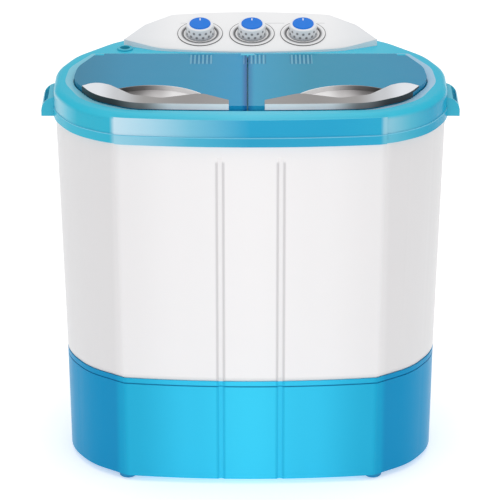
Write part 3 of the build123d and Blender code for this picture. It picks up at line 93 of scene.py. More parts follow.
def softbox(name, place, target, width, height, power):
    """One rectangular area light at `place`, facing `target`."""
    light = bpy.data.lights.new(name, "AREA")
    light.shape = "RECTANGLE"
    light.size = width
    light.size_y = height
    light.energy = power
    lamp = bpy.data.objects.new(name, light)
    lamp.location = place
    lamp.rotation_euler = (Vector(target) - Vector(place)).to_track_quat("-Z", "Y").to_euler()
    bpy.context.collection.objects.link(lamp)
    return lamp


softbox("front_box", (0.0, -2.6, 0.9), (0, 0, 0.25), 0.9, 1.4, 2.5)
softbox("top_box", (0.0, -0.3, 2.6), (0, 0, 0.4), 1.6, 1.6, 13).visible_glossy = False
softbox("rear_box", (0.8, 2.8, 1.6), (0, 0, 0.3), 1.4, 1.4, 6).visible_glossy = False

world = bpy.data.worlds.new("white_room")
world.use_nodes = True
world.node_tree.nodes["Background"].inputs["Color"].default_value = (1.0, 1.0, 1.0, 1.0)
world.node_tree.nodes["Background"].inputs["Strength"].default_value = WORLD_STRENGTH
bpy.context.scene.world = world
bpy.context.scene.view_settings.view_transform = "Standard"
print("lights: three boxes and a bright room")

# %% [markdown]
# ## Camera
# The eye is about 24 degrees above the horizon and far away, so a long lens keeps the upright
# edges nearly parallel.

# %% Camera
CAMERA_TARGET = Vector((-0.0007, 0.0, 0.2847))
CAMERA_RANGE = 4.240
CAMERA_RISE = math.radians(23.86)
CAMERA_LENS = 216.3

camera_data = bpy.data.cameras.new("studio_camera")
camera_data.lens = CAMERA_LENS
camera_data.sensor_width = 36.0
camera = bpy.data.objects.new("studio_camera", camera_data)
camera.location = CAMERA_TARGET + CAMERA_RANGE * Vector((0, -math.cos(CAMERA_RISE), math.sin(CAMERA_RISE)))
camera.rotation_euler = (CAMERA_TARGET - camera.location).to_track_quat("-Z", "Y").to_euler()
bpy.context.collection.objects.link(camera)
bpy.context.scene.camera = camera
print("camera:", [round(value, 3) for value in camera.location])

# %% [markdown]
# ## Tools for finishes
# A material here is a small node graph. The helpers below keep each graph short: one makes an
# empty node group, one adds a node with its inputs, and one turns a screen colour into the linear
# light that the shader wants.

# %% Node helpers


def screen(red, green, blue):
    """Linear colour for a screen colour given in 0..255."""
    level = np.array([red, green, blue]) / 255
    linear = np.where(level <= 0.04045, level / 12.92, ((level + 0.055) / 1.055) ** 2.4)
    return (*[float(value) for value in linear], 1.0)


GLOSS_LIFT = 0.028


def plastic(red, green, blue):
    """Screen colour of a gloss moulding, less the white that its gloss adds back."""
    return tuple(max(value - GLOSS_LIFT, 0.003) for value in screen(red, green, blue)[:3]) + (1.0,)


class Graph:
    """A thin wrapper round a node tree: `add` makes a node and fills or links its inputs."""

    def __init__(self, tree):
        self.tree = tree

    def add(self, kind, settings=None, **inputs):
        node = self.tree.nodes.new(kind)
        for key, value in (settings or {}).items():
            setattr(node, key, value)
        for key, value in inputs.items():
            socket = node.inputs[int(key[1:])] if key[1:].isdigit() else node.inputs[key.replace("_", " ")]
            if isinstance(value, bpy.types.NodeSocket):
                self.tree.links.new(value, socket)
            else:
                socket.default_value = value
        return node

    def math(self, operation, *values, clamp=False):
        inputs = {f"i{index}": value for index, value in enumerate(values)}
        return self.add("ShaderNodeMath", {"operation": operation, "use_clamp": clamp}, **inputs).outputs[0]

    def mix(self, mask, first, second):
        """Colour `first` where the mask is 0 and `second` where it is 1."""
        node = self.add("ShaderNodeMix", {"data_type": "RGBA"}, i0=mask, i6=first, i7=second)
        return node.outputs[2]

    def place(self):
        """Object coordinates, split into X, Y and Z."""
        vector = self.add("ShaderNodeTexCoord").outputs["Object"]
        split = self.add("ShaderNodeSeparateXYZ", i0=vector)
        return vector, split.outputs[0], split.outputs[1], split.outputs[2]

    def ramp(self, value, stops, ease="EASE"):
        """Colour ramp with (position, colour) stops."""
        node = self.add("ShaderNodeValToRGB", i0=value)
        elements = node.color_ramp.elements
        node.color_ramp.interpolation = ease
        while len(elements) < len(stops):
            elements.new(0.5)
        for element, (position, colour) in zip(elements, stops):
            element.position = position
            element.color = colour
        return node.outputs["Color"]


def new_group(name, inputs, outputs):
    """Empty node group with float or vector sockets; returns it with its graph and ends."""
    group = bpy.data.node_groups.new(name, "ShaderNodeTree")
    for label, kind in inputs:
        group.interface.new_socket(label, in_out="INPUT", socket_type=kind)
    for label, kind in outputs:
        group.interface.new_socket(label, in_out="OUTPUT", socket_type=kind)
    entry = group.nodes.new("NodeGroupInput")
    leave = group.nodes.new("NodeGroupOutput")
    return group, Graph(group), entry, leave


print("helpers ready")

# %% [markdown]
# ## Effects that several finishes share
# Injection moulding leaves a faint orange-peel in gloss and a fine spark texture in matt plastic.
# Both are noise at a different size, so one group serves both. A second group is a soft step
# along any coordinate, which gives fades, printed lines and shadow lines.

# %% Shared groups
FLOAT, VECTOR = "NodeSocketFloat", "NodeSocketVector"

grain_group, graph, entry, leave = new_group(
    "mould_grain",
    [("Position", VECTOR), ("Scale", FLOAT), ("Roughness", FLOAT), ("Spread", FLOAT)],
    [("Height", FLOAT), ("Roughness", FLOAT), ("Mottle", FLOAT)],
)
fine = graph.add("ShaderNodeTexNoise", Vector=entry.outputs[0], Scale=entry.outputs[1], Detail=3.0)
broad = graph.add("ShaderNodeTexNoise", Vector=entry.outputs[0], Scale=9.0, Detail=2.0)
drift = graph.math("MULTIPLY", graph.math("SUBTRACT", broad.outputs[0], 0.5), entry.outputs[3])
graph.tree.links.new(fine.outputs[0], leave.inputs[0])
graph.tree.links.new(graph.math("ADD", entry.outputs[2], drift), leave.inputs[1])
graph.tree.links.new(broad.outputs[0], leave.inputs[2])

step_group, graph, entry, leave = new_group(
    "soft_step", [("Value", FLOAT), ("Edge", FLOAT), ("Softness", FLOAT)], [("Mask", FLOAT)]
)
offset = graph.math("SUBTRACT", entry.outputs[0], entry.outputs[1])
slope = graph.math("DIVIDE", offset, entry.outputs[2])
graph.tree.links.new(graph.math("ADD", slope, 0.5, clamp=True), leave.inputs[0])

dust_group, graph, entry, leave = new_group(
    "settled_dust", [("Position", VECTOR), ("Amount", FLOAT)], [("Mask", FLOAT)]
)
facing = graph.add("ShaderNodeSeparateXYZ", i0=graph.add("ShaderNodeNewGeometry").outputs["Normal"])
flat_top = graph.math("MAXIMUM", facing.outputs[2], 0.0)
clouds = graph.add("ShaderNodeTexNoise", Vector=entry.outputs[0], Scale=38.0, Detail=5.0)
graph.tree.links.new(
    graph.math("MULTIPLY", graph.math("MULTIPLY", flat_top, clouds.outputs[0]), entry.outputs[1]),
    leave.inputs[0],
)


def use_group(graph, group, **inputs):
    """Place a shared group in a material and fill its inputs by order."""
    return graph.add("ShaderNodeGroup", {"node_tree": group}, **inputs)


def step(graph, value, edge, softness):
    """Mask that rises from 0 to 1 as `value` passes `edge`."""
    return use_group(graph, step_group, i0=value, i1=edge, i2=softness).outputs[0]


def stripe(graph, value, low, high, softness):
    """Mask that is 1 between two values."""
    rising = step(graph, value, low, softness)
    falling = step(graph, value, high, softness)
    return graph.math("SUBTRACT", rising, falling, clamp=True)


print("groups:", [group.name for group in bpy.data.node_groups])

# %% [markdown]
# ## The plain mouldings
# Most pieces differ only in colour, gloss and the size of the grain, so one function makes them.
# It always joins four things: a colour that drifts slightly, a gloss that drifts with it, a fine
# bump, and a trace of dust on what faces up.

# %% Moulded finish


def begin_material(name):
    """New material; returns it with its graph and its Principled shader."""
    material = bpy.data.materials.new(name)
    material.use_nodes = True
    return material, Graph(material.node_tree), material.node_tree.nodes["Principled BSDF"]


SHINE = 0.22


def finish_surface(graph, shader, colour, roughness, spread, grain, relief, dust=0.04, shift=0.05):
    """Feed the shader: drifting colour, drifting gloss, fine bump and a little dust."""
    shader.inputs["Specular IOR Level"].default_value = SHINE
    vector = graph.add("ShaderNodeTexCoord").outputs["Object"]
    moulding = use_group(graph, grain_group, i0=vector, i1=grain, i2=roughness, i3=spread)
    if not isinstance(colour, bpy.types.NodeSocket):
        tone = graph.add("ShaderNodeRGB")
        tone.outputs[0].default_value = colour
        colour = tone.outputs[0]
    darker = graph.add(
        "ShaderNodeMix", {"data_type": "RGBA", "blend_type": "MULTIPLY"}, i0=1.0, i6=colour,
        i7=(1 - shift, 1 - shift, 1 - shift, 1.0),
    )
    drifted = graph.mix(moulding.outputs[2], colour, darker.outputs[2])
    dusty = use_group(graph, dust_group, i0=vector, i1=dust).outputs[0]
    final = graph.mix(dusty, drifted, screen(214, 210, 204))
    bump = graph.add("ShaderNodeBump", Height=moulding.outputs[0], Distance=relief, Strength=0.5)
    graph.tree.links.new(final, shader.inputs["Base Color"])
    graph.tree.links.new(moulding.outputs[1], shader.inputs["Roughness"])
    graph.tree.links.new(bump.outputs[0], shader.inputs["Normal"])


def moulded(name, colour, roughness=0.3, spread=0.12, grain=900.0, relief=0.00004, coat=0.0, metallic=0.0):
    """A plain moulded or cast finish."""
    material, graph, shader = begin_material(name)
    finish_surface(graph, shader, colour, roughness, spread, grain, relief)
    shader.inputs["Coat Weight"].default_value = coat
    shader.inputs["Metallic"].default_value = metallic
    return material


finishes = {
    "foot_plastic": moulded("foot_blue", screen(36, 142, 190), 0.6, relief=0.0001),
    "steel_hardware": moulded("zinc_steel", screen(176, 178, 182), 0.34, 0.2, 1400.0, metallic=1.0),
    "black_plastic": moulded("switch_black", screen(38, 38, 40), 0.55, relief=0.0001),
    "tub_plastic": moulded("tub_white", screen(226, 234, 238), 0.28, coat=0.2),
    "pipe_plastic": moulded("pipe_grey", screen(206, 210, 212), 0.45),
    "filter_plastic": moulded("filter_blue", screen(64, 150, 196), 0.45),
    "brass_fitting": moulded("turned_brass", screen(196, 160, 92), 0.3, 0.2, metallic=1.0),
    "seal_rubber": moulded("seal_black", screen(34, 34, 35), 0.75, relief=0.0002),
    "pulsator_plastic": moulded("pulsator_blue", screen(120, 196, 224), 0.25, coat=0.3),
    "cast_metal": moulded("cast_alloy", screen(168, 170, 172), 0.48, 0.2, 700.0, 0.0002, metallic=1.0),
    "motor_steel": moulded("motor_paint", screen(74, 78, 84), 0.42),
    "basket_plastic": moulded("basket_white", screen(238, 241, 243), 0.28, coat=0.2),
    "pipe_rubber": moulded("hose_grey", screen(74, 76, 78), 0.7, relief=0.0002),
    "capacitor_can": moulded("drawn_can", screen(200, 202, 205), 0.28, metallic=1.0),
}
print("plain finishes:", len(finishes))

# %% [markdown]
# ## The white cabinet
# The cabinet is one white moulding, a little warmer and brighter in the middle of the front than
# on the slanted faces beside it. The two upright channels hold a thin line of painted shade. Light
# does most of the fade across the width, and painted shade on the slanted faces does the rest.

# %% Cabinet
CHANNEL_X = 0.041
CHANNEL_TOP_Z = 0.487
CHANNEL_EDGE_NEAR, CHANNEL_EDGE_FAR = 0.0028, 0.0062
FRONT_FACE_Y = -0.15


def channel_shade_lines(graph, place_x, place_y):
    """Mask of the two soft lines of painted shade along the edges of each upright channel on the front."""
    from_middle = graph.math("SUBTRACT", graph.math("ABSOLUTE", place_x), CHANNEL_X)
    lines = stripe(
        graph, graph.math("ABSOLUTE", from_middle), CHANNEL_EDGE_NEAR, CHANNEL_EDGE_FAR, 0.0016
    )
    in_front = graph.math("SUBTRACT", 1.0, step(graph, place_y, FRONT_FACE_Y, 0.002))
    return graph.math("MULTIPLY", lines, in_front)


material, graph, shader = begin_material("cabinet_white")
vector, place_x, place_y, place_z = graph.place()
across = graph.math("DIVIDE", graph.math("ABSOLUTE", place_x), 0.27)
# Painted shade: the white darkens towards the sides and past the creases onto the slanted faces.
cabinet_colour = graph.ramp(
    across,
    [(0.0, screen(249, 247, 248)), (0.35, screen(246, 244, 245)), (0.64, screen(240, 238, 239)),
     (0.675, screen(231, 229, 230)), (0.70, screen(226, 224, 225)), (1.0, screen(228, 227, 228))],
)
below_top = graph.math("SUBTRACT", 1.0, step(graph, place_z, CHANNEL_TOP_Z, 0.004))
# Painted shade along the edges of the upright channels.
channel_shade_mask = graph.math("MULTIPLY", channel_shade_lines(graph, place_x, place_y), below_top)
cabinet_colour = graph.mix(graph.math("MULTIPLY", channel_shade_mask, 0.75), cabinet_colour, screen(206, 203, 205))
seam_shade = graph.math("SUBTRACT", 1.0, step(graph, place_z, 0.1645, 0.005))
cabinet_colour = graph.mix(graph.math("MULTIPLY", seam_shade, 0.5), cabinet_colour, screen(196, 198, 200))
finish_surface(graph, shader, cabinet_colour, 0.34, 0.1, 820.0, 0.00003, dust=0.02, shift=0.012)
shader.inputs["Coat Weight"].default_value = 0.04
finishes["white_shell"] = material
print("cabinet:", material.name)

# %% [markdown]
# ## The blue skirt
# The skirt is a clear sky blue, with painted light in the middle of the front and painted shade
# that turns it deeper towards the sides.

# %% Skirt
material, graph, shader = begin_material("skirt_blue")
vector, place_x, place_y, place_z = graph.place()
across = graph.math("DIVIDE", graph.math("ABSOLUTE", place_x), 0.27)
# Painted light in the middle of the front and painted shade towards the sides.
skirt_colour = graph.ramp(
    across,
    [(0.0, plastic(75, 217, 255)), (0.30, plastic(70, 206, 246)), (0.62, plastic(60, 184, 224)),
     (0.665, plastic(50, 168, 212)), (0.70, plastic(20, 150, 200)), (1.0, plastic(30, 158, 208))],
)
# Painted shade in the groove round the skirt.
groove_shade = stripe(graph, place_z, 0.1513, 0.1533, 0.0004)
skirt_colour = graph.mix(graph.math("MULTIPLY", groove_shade, 0.6), skirt_colour, plastic(34, 128, 178))
# Painted shade along the edges of the upright channels, in a deeper blue.
channel_shade_mask = channel_shade_lines(graph, place_x, place_y)
skirt_colour = graph.mix(graph.math("MULTIPLY", channel_shade_mask, 0.5), skirt_colour, plastic(52, 178, 222))
finish_surface(graph, shader, skirt_colour, 0.3, 0.1, 820.0, 0.00003, dust=0.02, shift=0.03)
shader.inputs["Specular IOR Level"].default_value = 0.1
skirt_material = material
print("skirt:", material.name)

# %% [markdown]
# ## The blue top frame
# The frame rolls over in cyan, with painted light brighter in the middle of the roll. Its front
# carries a raised band with a painted highlight that starts almost white at the left end and sinks
# into a mid blue. The face round the right crease carries the same painted highlight. A painted
# highlight line marks the step of the lower flange, and a pale lavender painted highlight runs round
# the bevel inside, round the lids. All of these are places on the frame, so heights, sides and the
# way a face looks pick them out.

# %% Top frame
rim_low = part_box("top_frame")[0]
RIM_TOP_Z = rim_low[2] + 0.042
BAND_STEP_Z = rim_low[2] + 0.013

material, graph, shader = begin_material("rim_cyan")
vector, place_x, place_y, place_z = graph.place()
normal = graph.add("ShaderNodeSeparateXYZ", i0=graph.add("ShaderNodeNewGeometry").outputs["Normal"])
along = graph.math("ADD", graph.math("DIVIDE", place_x, 0.56), 0.5)


def spots(stops):
    """Ramp stops from places along X in millimetres and their screen colours."""
    return [(0.5 + place / 560, plastic(*colour)) for place, colour in stops]


# Painted highlights on the front wall: almost white at the left crease and again at the right crease, sinking
# into mid blue.
face_colour = graph.ramp(
    along,
    spots([(-262, (170, 222, 238)), (-246, (112, 205, 229)), (-232, (72, 190, 216)), (-187, (70, 188, 216)),
           (-182, (204, 234, 248)), (-133, (177, 223, 242)), (-80, (129, 202, 228)), (0, (62, 173, 216)),
           (107, (60, 174, 216)), (174, (64, 180, 218)), (178, (158, 212, 230)), (214, (101, 193, 218)),
           (247, (57, 171, 208))]),
    "LINEAR",
)
# The same painted highlights on the lower flange, weaker.
flange_colour = graph.ramp(
    along,
    spots([(-262, (86, 196, 222)), (-187, (72, 188, 216)), (-182, (158, 216, 236)), (-133, (138, 205, 230)),
           (-80, (91, 188, 218)), (0, (65, 171, 211)), (174, (67, 179, 217)), (178, (116, 198, 222)),
           (214, (84, 186, 214)), (247, (58, 170, 206))]),
    "LINEAR",
)
# Painted light: the roll is brighter in the middle than at its ends.
roll_colour = graph.ramp(
    along,
    spots([(-262, (60, 196, 224)), (-150, (86, 204, 230)), (0, (108, 212, 238)), (150, (90, 206, 232)),
           (262, (58, 194, 224))]),
    "LINEAR",
)
upright = graph.math("SUBTRACT", 1.0, step(graph, normal.outputs[2], 0.35, 0.4))
front = graph.math("SUBTRACT", 1.0, step(graph, place_y, -0.05, 0.06))
wall_mask = graph.math("MULTIPLY", upright, front)
flange = graph.math("SUBTRACT", 1.0, step(graph, place_z, BAND_STEP_Z, 0.0002))
wall_colour = graph.mix(flange, face_colour, flange_colour)
rim_colour = graph.mix(wall_mask, roll_colour, wall_colour)
# Painted highlight along the step of the lower flange.
step_highlight = stripe(graph, place_z, BAND_STEP_Z - 0.0009, BAND_STEP_Z + 0.0004, 0.0003)
rim_colour = graph.mix(graph.math("MULTIPLY", step_highlight, 0.7), rim_colour, plastic(140, 216, 240))
# Painted highlight in pale lavender round the bevel inside, round the lids.
inward = graph.math(
    "ADD",
    graph.math("MULTIPLY", normal.outputs[0], place_x),
    graph.math("MULTIPLY", normal.outputs[1], graph.math("ADD", place_y, 0.04)),
)
faces_in = graph.math("SUBTRACT", 1.0, step(graph, inward, -0.006, 0.004))
high_up = stripe(graph, place_z, RIM_TOP_Z - 0.0034, RIM_TOP_Z - 0.00005, 0.0002)
bevel_highlight_mask = graph.math("MULTIPLY", graph.math("MULTIPLY", faces_in, high_up), 0.85)
bevel_side = step(graph, place_x, -0.14, 0.10)
bevel_highlight_colour = graph.mix(bevel_side, plastic(150, 214, 232), plastic(188, 216, 238))
rim_colour = graph.mix(bevel_highlight_mask, rim_colour, bevel_highlight_colour)
finish_surface(graph, shader, rim_colour, 0.24, 0.1, 820.0, 0.00003, dust=0.02, shift=0.03)
shader.inputs["Specular IOR Level"].default_value = 0.14
rim_material = material
print("top frame:", material.name)

# %% [markdown]
# ## Translucent lids
# The lids are tinted clear plastic. Glass would show the tubs too plainly, and opaque paint would
# hide what lies under them. Plastic that is partly see-through sits between: the tint is in the base
# colour, and some of the light passes. Near the hinge, light and dark streaks under each dial are a
# painted reflection of the dials.

# %% Lids
STREAK_PITCH = 0.0056
REFLECTED_DIAL_X = (-0.068, 0.006, 0.070)
REFLECTION_HALF_WIDTH = 0.0155
REFLECTION_FRONT_Y, REFLECTION_REAR_Y = 0.020, 0.056

material, graph, shader = begin_material("lid_tint")
vector, place_x, place_y, place_z = graph.place()
# Across the lids the tint varies; the dark stop next to the divider is painted shade of the gap between the
# lids.
lid_colour = graph.ramp(
    graph.math("ADD", graph.math("DIVIDE", place_x, 0.5), 0.5),
    [(0.02, plastic(36, 138, 174)), (0.16, plastic(20, 152, 194)), (0.34, plastic(20, 158, 200)),
     (0.475, plastic(30, 164, 214)), (0.488, plastic(16, 112, 176)), (0.51, plastic(60, 172, 214)),
     (0.66, plastic(34, 158, 192)), (0.84, plastic(28, 156, 194)), (0.98, plastic(20, 152, 194))],
    "LINEAR",
)
# Painted reflection of the three dials: light and dark streaks near the hinge, under each dial.
behind = step(graph, place_y, REFLECTION_FRONT_Y, 0.004)
at_back = graph.math("MULTIPLY", behind, stripe(graph, place_y, 0.0, REFLECTION_REAR_Y, 0.002))
comb = graph.math("SINE", graph.math("MULTIPLY", place_x, 2 * math.pi / STREAK_PITCH))
near_reflections = 0.0
for reflected_x in REFLECTED_DIAL_X:
    group = stripe(graph, place_x, reflected_x - REFLECTION_HALF_WIDTH, reflected_x + REFLECTION_HALF_WIDTH, 0.001)
    near_reflections = graph.math("ADD", near_reflections, group)
reflected_streaks = graph.math("MULTIPLY", at_back, near_reflections)
light_streak_reflection = graph.math("MULTIPLY", reflected_streaks, step(graph, comb, 0.45, 0.5))
dark_streak_reflection = graph.math("MULTIPLY", reflected_streaks, graph.math("SUBTRACT", 1.0, step(graph, comb, -0.45, 0.5)))
lid_colour = graph.mix(graph.math("MULTIPLY", light_streak_reflection, 0.65), lid_colour, plastic(150, 206, 226))
lid_colour = graph.mix(graph.math("MULTIPLY", dark_streak_reflection, 0.6), lid_colour, plastic(30, 104, 150))
finish_surface(graph, shader, lid_colour, 0.16, 0.06, 500.0, 0.00002, dust=0.02, shift=0.05)
shader.inputs["Coat Weight"].default_value = 0.05
shader.inputs["Alpha"].default_value = 0.93
finishes["lid_blue"] = material
print("lids:", material.name)

# %% [markdown]
# ## Bright grips
# The grips are metallised plastic, satin rather than mirror. Such a skin runs from nearly black
# to white along one piece; here that dark-to-light run is a painted reflection in the base colour,
# on the front face, the top and the scoop, besides the studio's own reflections. A stretched noise
# gives the brushed lines.

# %% Grips
material, graph, shader = begin_material("grip_silver")
vector, place_x, place_y, place_z = graph.place()
normal = graph.add("ShaderNodeSeparateXYZ", i0=graph.add("ShaderNodeNewGeometry").outputs["Normal"])
reach = graph.math("ABSOLUTE", place_x)
outward = graph.math("DIVIDE", reach, 0.24)
# Painted reflection and shade along each grip, set apart by face: front, top and scoop.
face_reflection = graph.ramp(
    outward,
    [(0.12, screen(250, 250, 250)), (0.42, screen(234, 232, 232)), (0.62, screen(120, 118, 118)),
     (0.78, screen(52, 51, 51)), (1.0, screen(34, 34, 34))],
)
top_reflection = graph.ramp(
    outward,
    [(0.10, screen(156, 153, 152)), (0.36, screen(146, 142, 141)), (0.58, screen(156, 153, 152)),
     (0.74, screen(206, 208, 212)), (0.86, screen(238, 242, 248)), (1.0, screen(244, 247, 252))],
)
scoop_reflection = graph.ramp(
    outward,
    [(0.24, screen(255, 255, 255)), (0.42, screen(250, 249, 249)), (0.52, screen(206, 203, 203)),
     (0.66, screen(128, 125, 125)), (1.0, screen(104, 102, 102))],
)
looks_up = step(graph, normal.outputs[2], 0.5, 0.3)
in_scoop = graph.math("SUBTRACT", 1.0, step(graph, place_z, 0.5588, 0.0003))
grip_colour = graph.mix(looks_up, face_reflection, graph.mix(in_scoop, top_reflection, scoop_reflection))
stretch = graph.add("ShaderNodeMapping", Vector=vector, Scale=(4.0, 160.0, 160.0))
brushing = graph.add("ShaderNodeTexNoise", Vector=stretch.outputs[0], Scale=4.0, Detail=3.0)
brushed_bump = graph.add("ShaderNodeBump", Height=brushing.outputs[0], Distance=0.00002, Strength=0.15)
gloss = graph.math("ADD", graph.math("MULTIPLY", brushing.outputs[0], 0.06), 0.26)
graph.tree.links.new(grip_colour, shader.inputs["Base Color"])
graph.tree.links.new(gloss, shader.inputs["Roughness"])
graph.tree.links.new(brushed_bump.outputs[0], shader.inputs["Normal"])
shader.inputs["Metallic"].default_value = 0.1
finishes["silver_trim"] = material
print("grips:", material.name)

# %% [markdown]
# ## The white panel
# The panel is white, with painted shade towards its swept edge, towards its ends and on the faces
# that do not look up, which keeps its outline clear against a white room. Short grey marks behind
# each dial show where its settings lie.

# %% Panel
panel_front_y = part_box("control_panel")[0][1]
MARK_ROW_Y = (0.1455, 0.1466)
MARKS_X = ((-0.099, -0.090), (0.023, 0.048), (0.094, 0.105))
PANEL_BOW = 0.53

material, graph, shader = begin_material("panel_white")
vector, place_x, place_y, place_z = graph.place()
normal = graph.add("ShaderNodeSeparateXYZ", i0=graph.add("ShaderNodeNewGeometry").outputs["Normal"])
level = step(graph, normal.outputs[2], 0.9, 0.1)
bow = graph.math("MULTIPLY", graph.math("MULTIPLY", place_x, place_x), PANEL_BOW)
front_edge = graph.math("ADD", bow, panel_front_y)
inside = graph.math("SUBTRACT", place_y, front_edge)
# Painted shade: darker towards the swept front edge and towards the ends; faces that do not look up take a
# flat, slightly darker white.
edge_shade = graph.ramp(
    graph.math("DIVIDE", inside, 0.03),
    [(0.0, screen(232, 234, 236)), (0.25, screen(246, 247, 248)), (1.0, screen(251, 251, 252))],
)
end_shade = graph.ramp(
    graph.math("DIVIDE", graph.math("ABSOLUTE", place_x), 0.18),
    [(0.5, screen(255, 255, 255)), (0.95, screen(240, 242, 244))],
)
shaded_top = graph.add(
    "ShaderNodeMix", {"data_type": "RGBA", "blend_type": "MULTIPLY"}, i0=1.0, i6=edge_shade, i7=end_shade
)
panel_colour = graph.mix(level, screen(240, 242, 245), shaded_top.outputs[2])
mark_band = stripe(graph, place_y, *MARK_ROW_Y, 0.0003)
marks = 0.0
for mark_low, mark_high in MARKS_X:
    marks = graph.math("ADD", marks, stripe(graph, place_x, mark_low, mark_high, 0.0006))
printed = graph.math("MULTIPLY", graph.math("MULTIPLY", marks, mark_band), 0.55)
panel_colour = graph.mix(printed, panel_colour, screen(150, 152, 156))
finish_surface(graph, shader, panel_colour, 0.3, 0.1, 900.0, 0.00002, dust=0.01, shift=0.01)
finishes["white_panel"] = material
print("panel:", material.name)

# %% [markdown]
# ## Blue dial caps and their rings
# Each cap is a clear saturated blue. The ring under each dial carries painted shade, darkest where
# it goes under the dial, and turns white towards its edge before a thin dark outer line, so its
# colour depends on the distance to the nearest dial.

# %% Dial finishes
DIAL_JOINTS = ("wash_timer_turn", "drain_selector_turn", "spin_timer_turn")
dial_places = [Vector(joint_of[name]["pos_m"]) for name in DIAL_JOINTS]
dial_axis = Vector(joint_of[DIAL_JOINTS[0]]["axis"]).normalized()
RING_INNER, RING_OUTER = 0.0235, 0.032
SPOTS_PER_ROW = 14
SPOT_ROWS = ((0.0052, 0.0), (0.0108, 0.5))

dial_group, graph, entry, leave = new_group(
    "dial_frame", [("Position", VECTOR)], [("Across", FLOAT), ("Up", FLOAT), ("Height", FLOAT)]
)
split = graph.add("ShaderNodeSeparateXYZ", i0=entry.outputs[0])
nearest_x = dial_places[0].x
for before, after in zip(dial_places, dial_places[1:]):
    passed = graph.math("GREATER_THAN", split.outputs[0], (before.x + after.x) / 2)
    nearest_x = graph.math("ADD", graph.math("MULTIPLY", passed, after.x - before.x), nearest_x)
from_y = graph.math("SUBTRACT", split.outputs[1], dial_places[0].y)
from_z = graph.math("SUBTRACT", split.outputs[2], dial_places[0].z)
up_slope = graph.math(
    "SUBTRACT", graph.math("MULTIPLY", from_y, dial_axis.z), graph.math("MULTIPLY", from_z, dial_axis.y)
)
height = graph.math(
    "ADD", graph.math("MULTIPLY", from_y, dial_axis.y), graph.math("MULTIPLY", from_z, dial_axis.z)
)
graph.tree.links.new(graph.math("SUBTRACT", split.outputs[0], nearest_x), leave.inputs[0])
graph.tree.links.new(up_slope, leave.inputs[1])
graph.tree.links.new(height, leave.inputs[2])

material, graph, shader = begin_material("dial_white")
vector = graph.add("ShaderNodeTexCoord").outputs["Object"]
local = use_group(graph, dial_group, i0=vector)
turn = graph.math("DIVIDE", graph.math("ARCTAN2", local.outputs[0], local.outputs[1]), 2 * math.pi / SPOTS_PER_ROW)
# Two rows of dark spots, evenly spaced round each dial's skirt.
dark_spots = 0.0
for spot_height, turn_shift in SPOT_ROWS:
    along_ring = graph.math("SUBTRACT", graph.math("FRACT", graph.math("ADD", turn, turn_shift)), 0.5)
    flat = graph.math("DIVIDE", along_ring, 0.27)
    tall = graph.math("DIVIDE", graph.math("SUBTRACT", local.outputs[2], spot_height), 0.0023)
    spread = graph.math("ADD", graph.math("MULTIPLY", flat, flat), graph.math("MULTIPLY", tall, tall))
    dark_spots = graph.math("ADD", dark_spots, graph.math("SUBTRACT", 1.0, spread, clamp=True), clamp=True)
# Painted shade: each dial darkens towards its foot on the ring.
dial_colour = graph.ramp(
    graph.math("DIVIDE", local.outputs[2], 0.017),
    [(0.0, screen(150, 152, 156)), (0.12, screen(206, 208, 212)), (0.4, screen(240, 241, 243)),
     (1.0, screen(246, 247, 249))],
)
dial_colour = graph.mix(graph.math("MULTIPLY", dark_spots, 0.9), dial_colour, screen(58, 60, 64))
finish_surface(graph, shader, dial_colour, 0.3, 0.1, 900.0, 0.00002, dust=0.01, shift=0.02)
finishes["knob_white"] = material
finishes["knob_blue"] = moulded("cap_blue", plastic(8, 132, 236), 0.35)

material, graph, shader = begin_material("ring_shade")
vector, place_x, place_y, place_z = graph.place()
nearest = 1.0
for dial_place in dial_places:
    from_dial = graph.add("ShaderNodeVectorMath", {"operation": "DISTANCE"}, i0=vector, i1=tuple(dial_place))
    nearest = graph.math("MINIMUM", from_dial.outputs["Value"], nearest)
outward = graph.math("DIVIDE", graph.math("SUBTRACT", nearest, RING_INNER), RING_OUTER - RING_INNER)
# Painted shade where the ring goes under the dial.
ring_colour = graph.ramp(
    outward,
    [(0.0, screen(70, 70, 72)), (0.28, screen(150, 150, 152)), (0.46, screen(236, 236, 238)),
     (0.86, screen(250, 250, 250)), (0.93, screen(120, 120, 122)), (1.0, screen(96, 96, 98))],
)
finish_surface(graph, shader, ring_colour, 0.25, 0.08, 900.0, 0.00002, dust=0.01)
finishes["dial_trim"] = material
print("dials:", [tuple(round(value, 4) for value in place) for place in dial_places])

# %% [markdown]
# ## Dressing the frame
# The machine is put together from separate mouldings, and one finish covers each of them from edge
# to edge. Painting faces one by one would be slow and would miss the rounded edges. A table from
# the kind of plastic or metal to its finish is short, and the few pieces that differ from their
# kind, such as the skirt, the top frame and the cyan handles, stand in a table of their own.

# %% Give every frame node its finish
NODE_FINISH = {
    "base_skirt": skirt_material,
    "top_frame": rim_material,
    "rear_service_cover": moulded("cover_white", screen(226, 226, 227), 0.4, coat=0.04),
}
for handle_node in ("carry_handle_left", "carry_handle_right", "water_inlet_port"):
    NODE_FINISH[handle_node] = moulded(f"{handle_node}_cyan", plastic(74, 190, 216), 0.3, coat=0.05)

for node_name, node_object in nodes.items():
    finish = NODE_FINISH.get(node_name) or finishes[slot_of[node_name]]
    for material_slot in node_object.material_slots:
        material_slot.material = finish

paper = moulded("floor_paper", screen(252, 252, 252), 0.85, 0.05, 60.0, 0.00001)
paper_shader = paper.node_tree.nodes["Principled BSDF"]
paper_shader.inputs["Emission Color"].default_value = (1.0, 1.0, 1.0, 1.0)
paper_shader.inputs["Emission Strength"].default_value = FLOOR_GLOW
floor.data.materials.append(paper)
print("finished nodes:", len(nodes))

# %% [markdown]
# ## Pointers on the dial caps
# Each cap has a short white pointer near its rear edge. It is a bar with rounded ends: a
# superellipse in plan whose height falls off towards the edge.

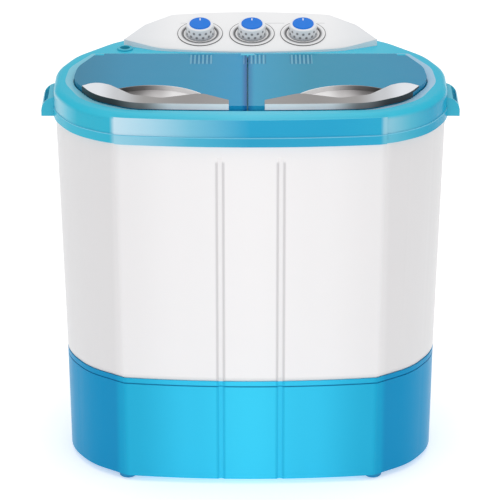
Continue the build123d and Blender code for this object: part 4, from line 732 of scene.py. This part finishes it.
# %% Pointers
POINTER_LENGTH, POINTER_WIDTH, POINTER_HEIGHT = 0.0062, 0.0017, 0.0005
POINTER_MIDDLE = 0.0090
CAP_TOP = 0.0182
ALONG = Vector((1.0, 0.0, 0.0))
UP_SLOPE = dial_axis.cross(ALONG).normalized()


def grid_faces(rows, columns, wrap=True):
    """Quads of a rows x columns grid of points, joined round the columns when `wrap` is set."""
    row, column = np.meshgrid(np.arange(rows - 1), np.arange(columns if wrap else columns - 1), indexing="ij")
    after = (column + 1) % columns
    corners = [row * columns + column, row * columns + after, (row + 1) * columns + after,
               (row + 1) * columns + column]
    return np.stack(corners, axis=-1).reshape(-1, 4)


def on_panel(place, local):
    """Points given along the panel, up its slope and off its face, moved to `place`."""
    axes = np.array([ALONG, UP_SLOPE, dial_axis])
    return local @ axes + np.array(place)


def pointer_points(rings=6, sides=28):
    """Half a superellipsoid: |x/a|^4 + |y/b|^4 + (z/c)^2 = 1, over ring and side angles."""
    lift = np.linspace(0.0, math.pi / 2 * 0.96, rings)[:, None]
    turn = np.linspace(0.0, 2 * math.pi, sides, endpoint=False)[None, :]
    rounded_x = np.sign(np.cos(turn)) * np.abs(np.cos(turn)) ** 0.5
    rounded_y = np.sign(np.sin(turn)) * np.abs(np.sin(turn)) ** 0.5
    x = POINTER_WIDTH / 2 * np.cos(lift) ** 0.5 * rounded_x
    y = POINTER_LENGTH / 2 * np.cos(lift) ** 0.5 * rounded_y + POINTER_MIDDLE
    z = POINTER_HEIGHT * np.sin(lift) + 0 * turn + CAP_TOP
    return np.stack([x, y, z], axis=-1).reshape(-1, 3)


pointer_white = moulded("pointer_white", screen(250, 250, 250), 0.3)
for dial_name, dial_place in zip(("wash_timer", "drain_selector", "spin_timer"), dial_places):
    points = pointer_points()
    faces = [list(face) for face in grid_faces(6, 28)]
    mesh = bpy.data.meshes.new(f"{dial_name}_pointer")
    top_ring = list(range(5 * 28, 6 * 28))
    under_ring = list(range(27, -1, -1))
    mesh.from_pydata(on_panel(dial_place, points).tolist(), [], faces + [top_ring, under_ring])
    mesh.update()
    mesh.shade_smooth()
    pointer = bpy.data.objects.new(f"{dial_name}_pointer", mesh)
    bpy.context.collection.objects.link(pointer)
    mesh.materials.append(pointer_white)
    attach(pointer, f"{dial_name}_dial")
print("pointers: 3")
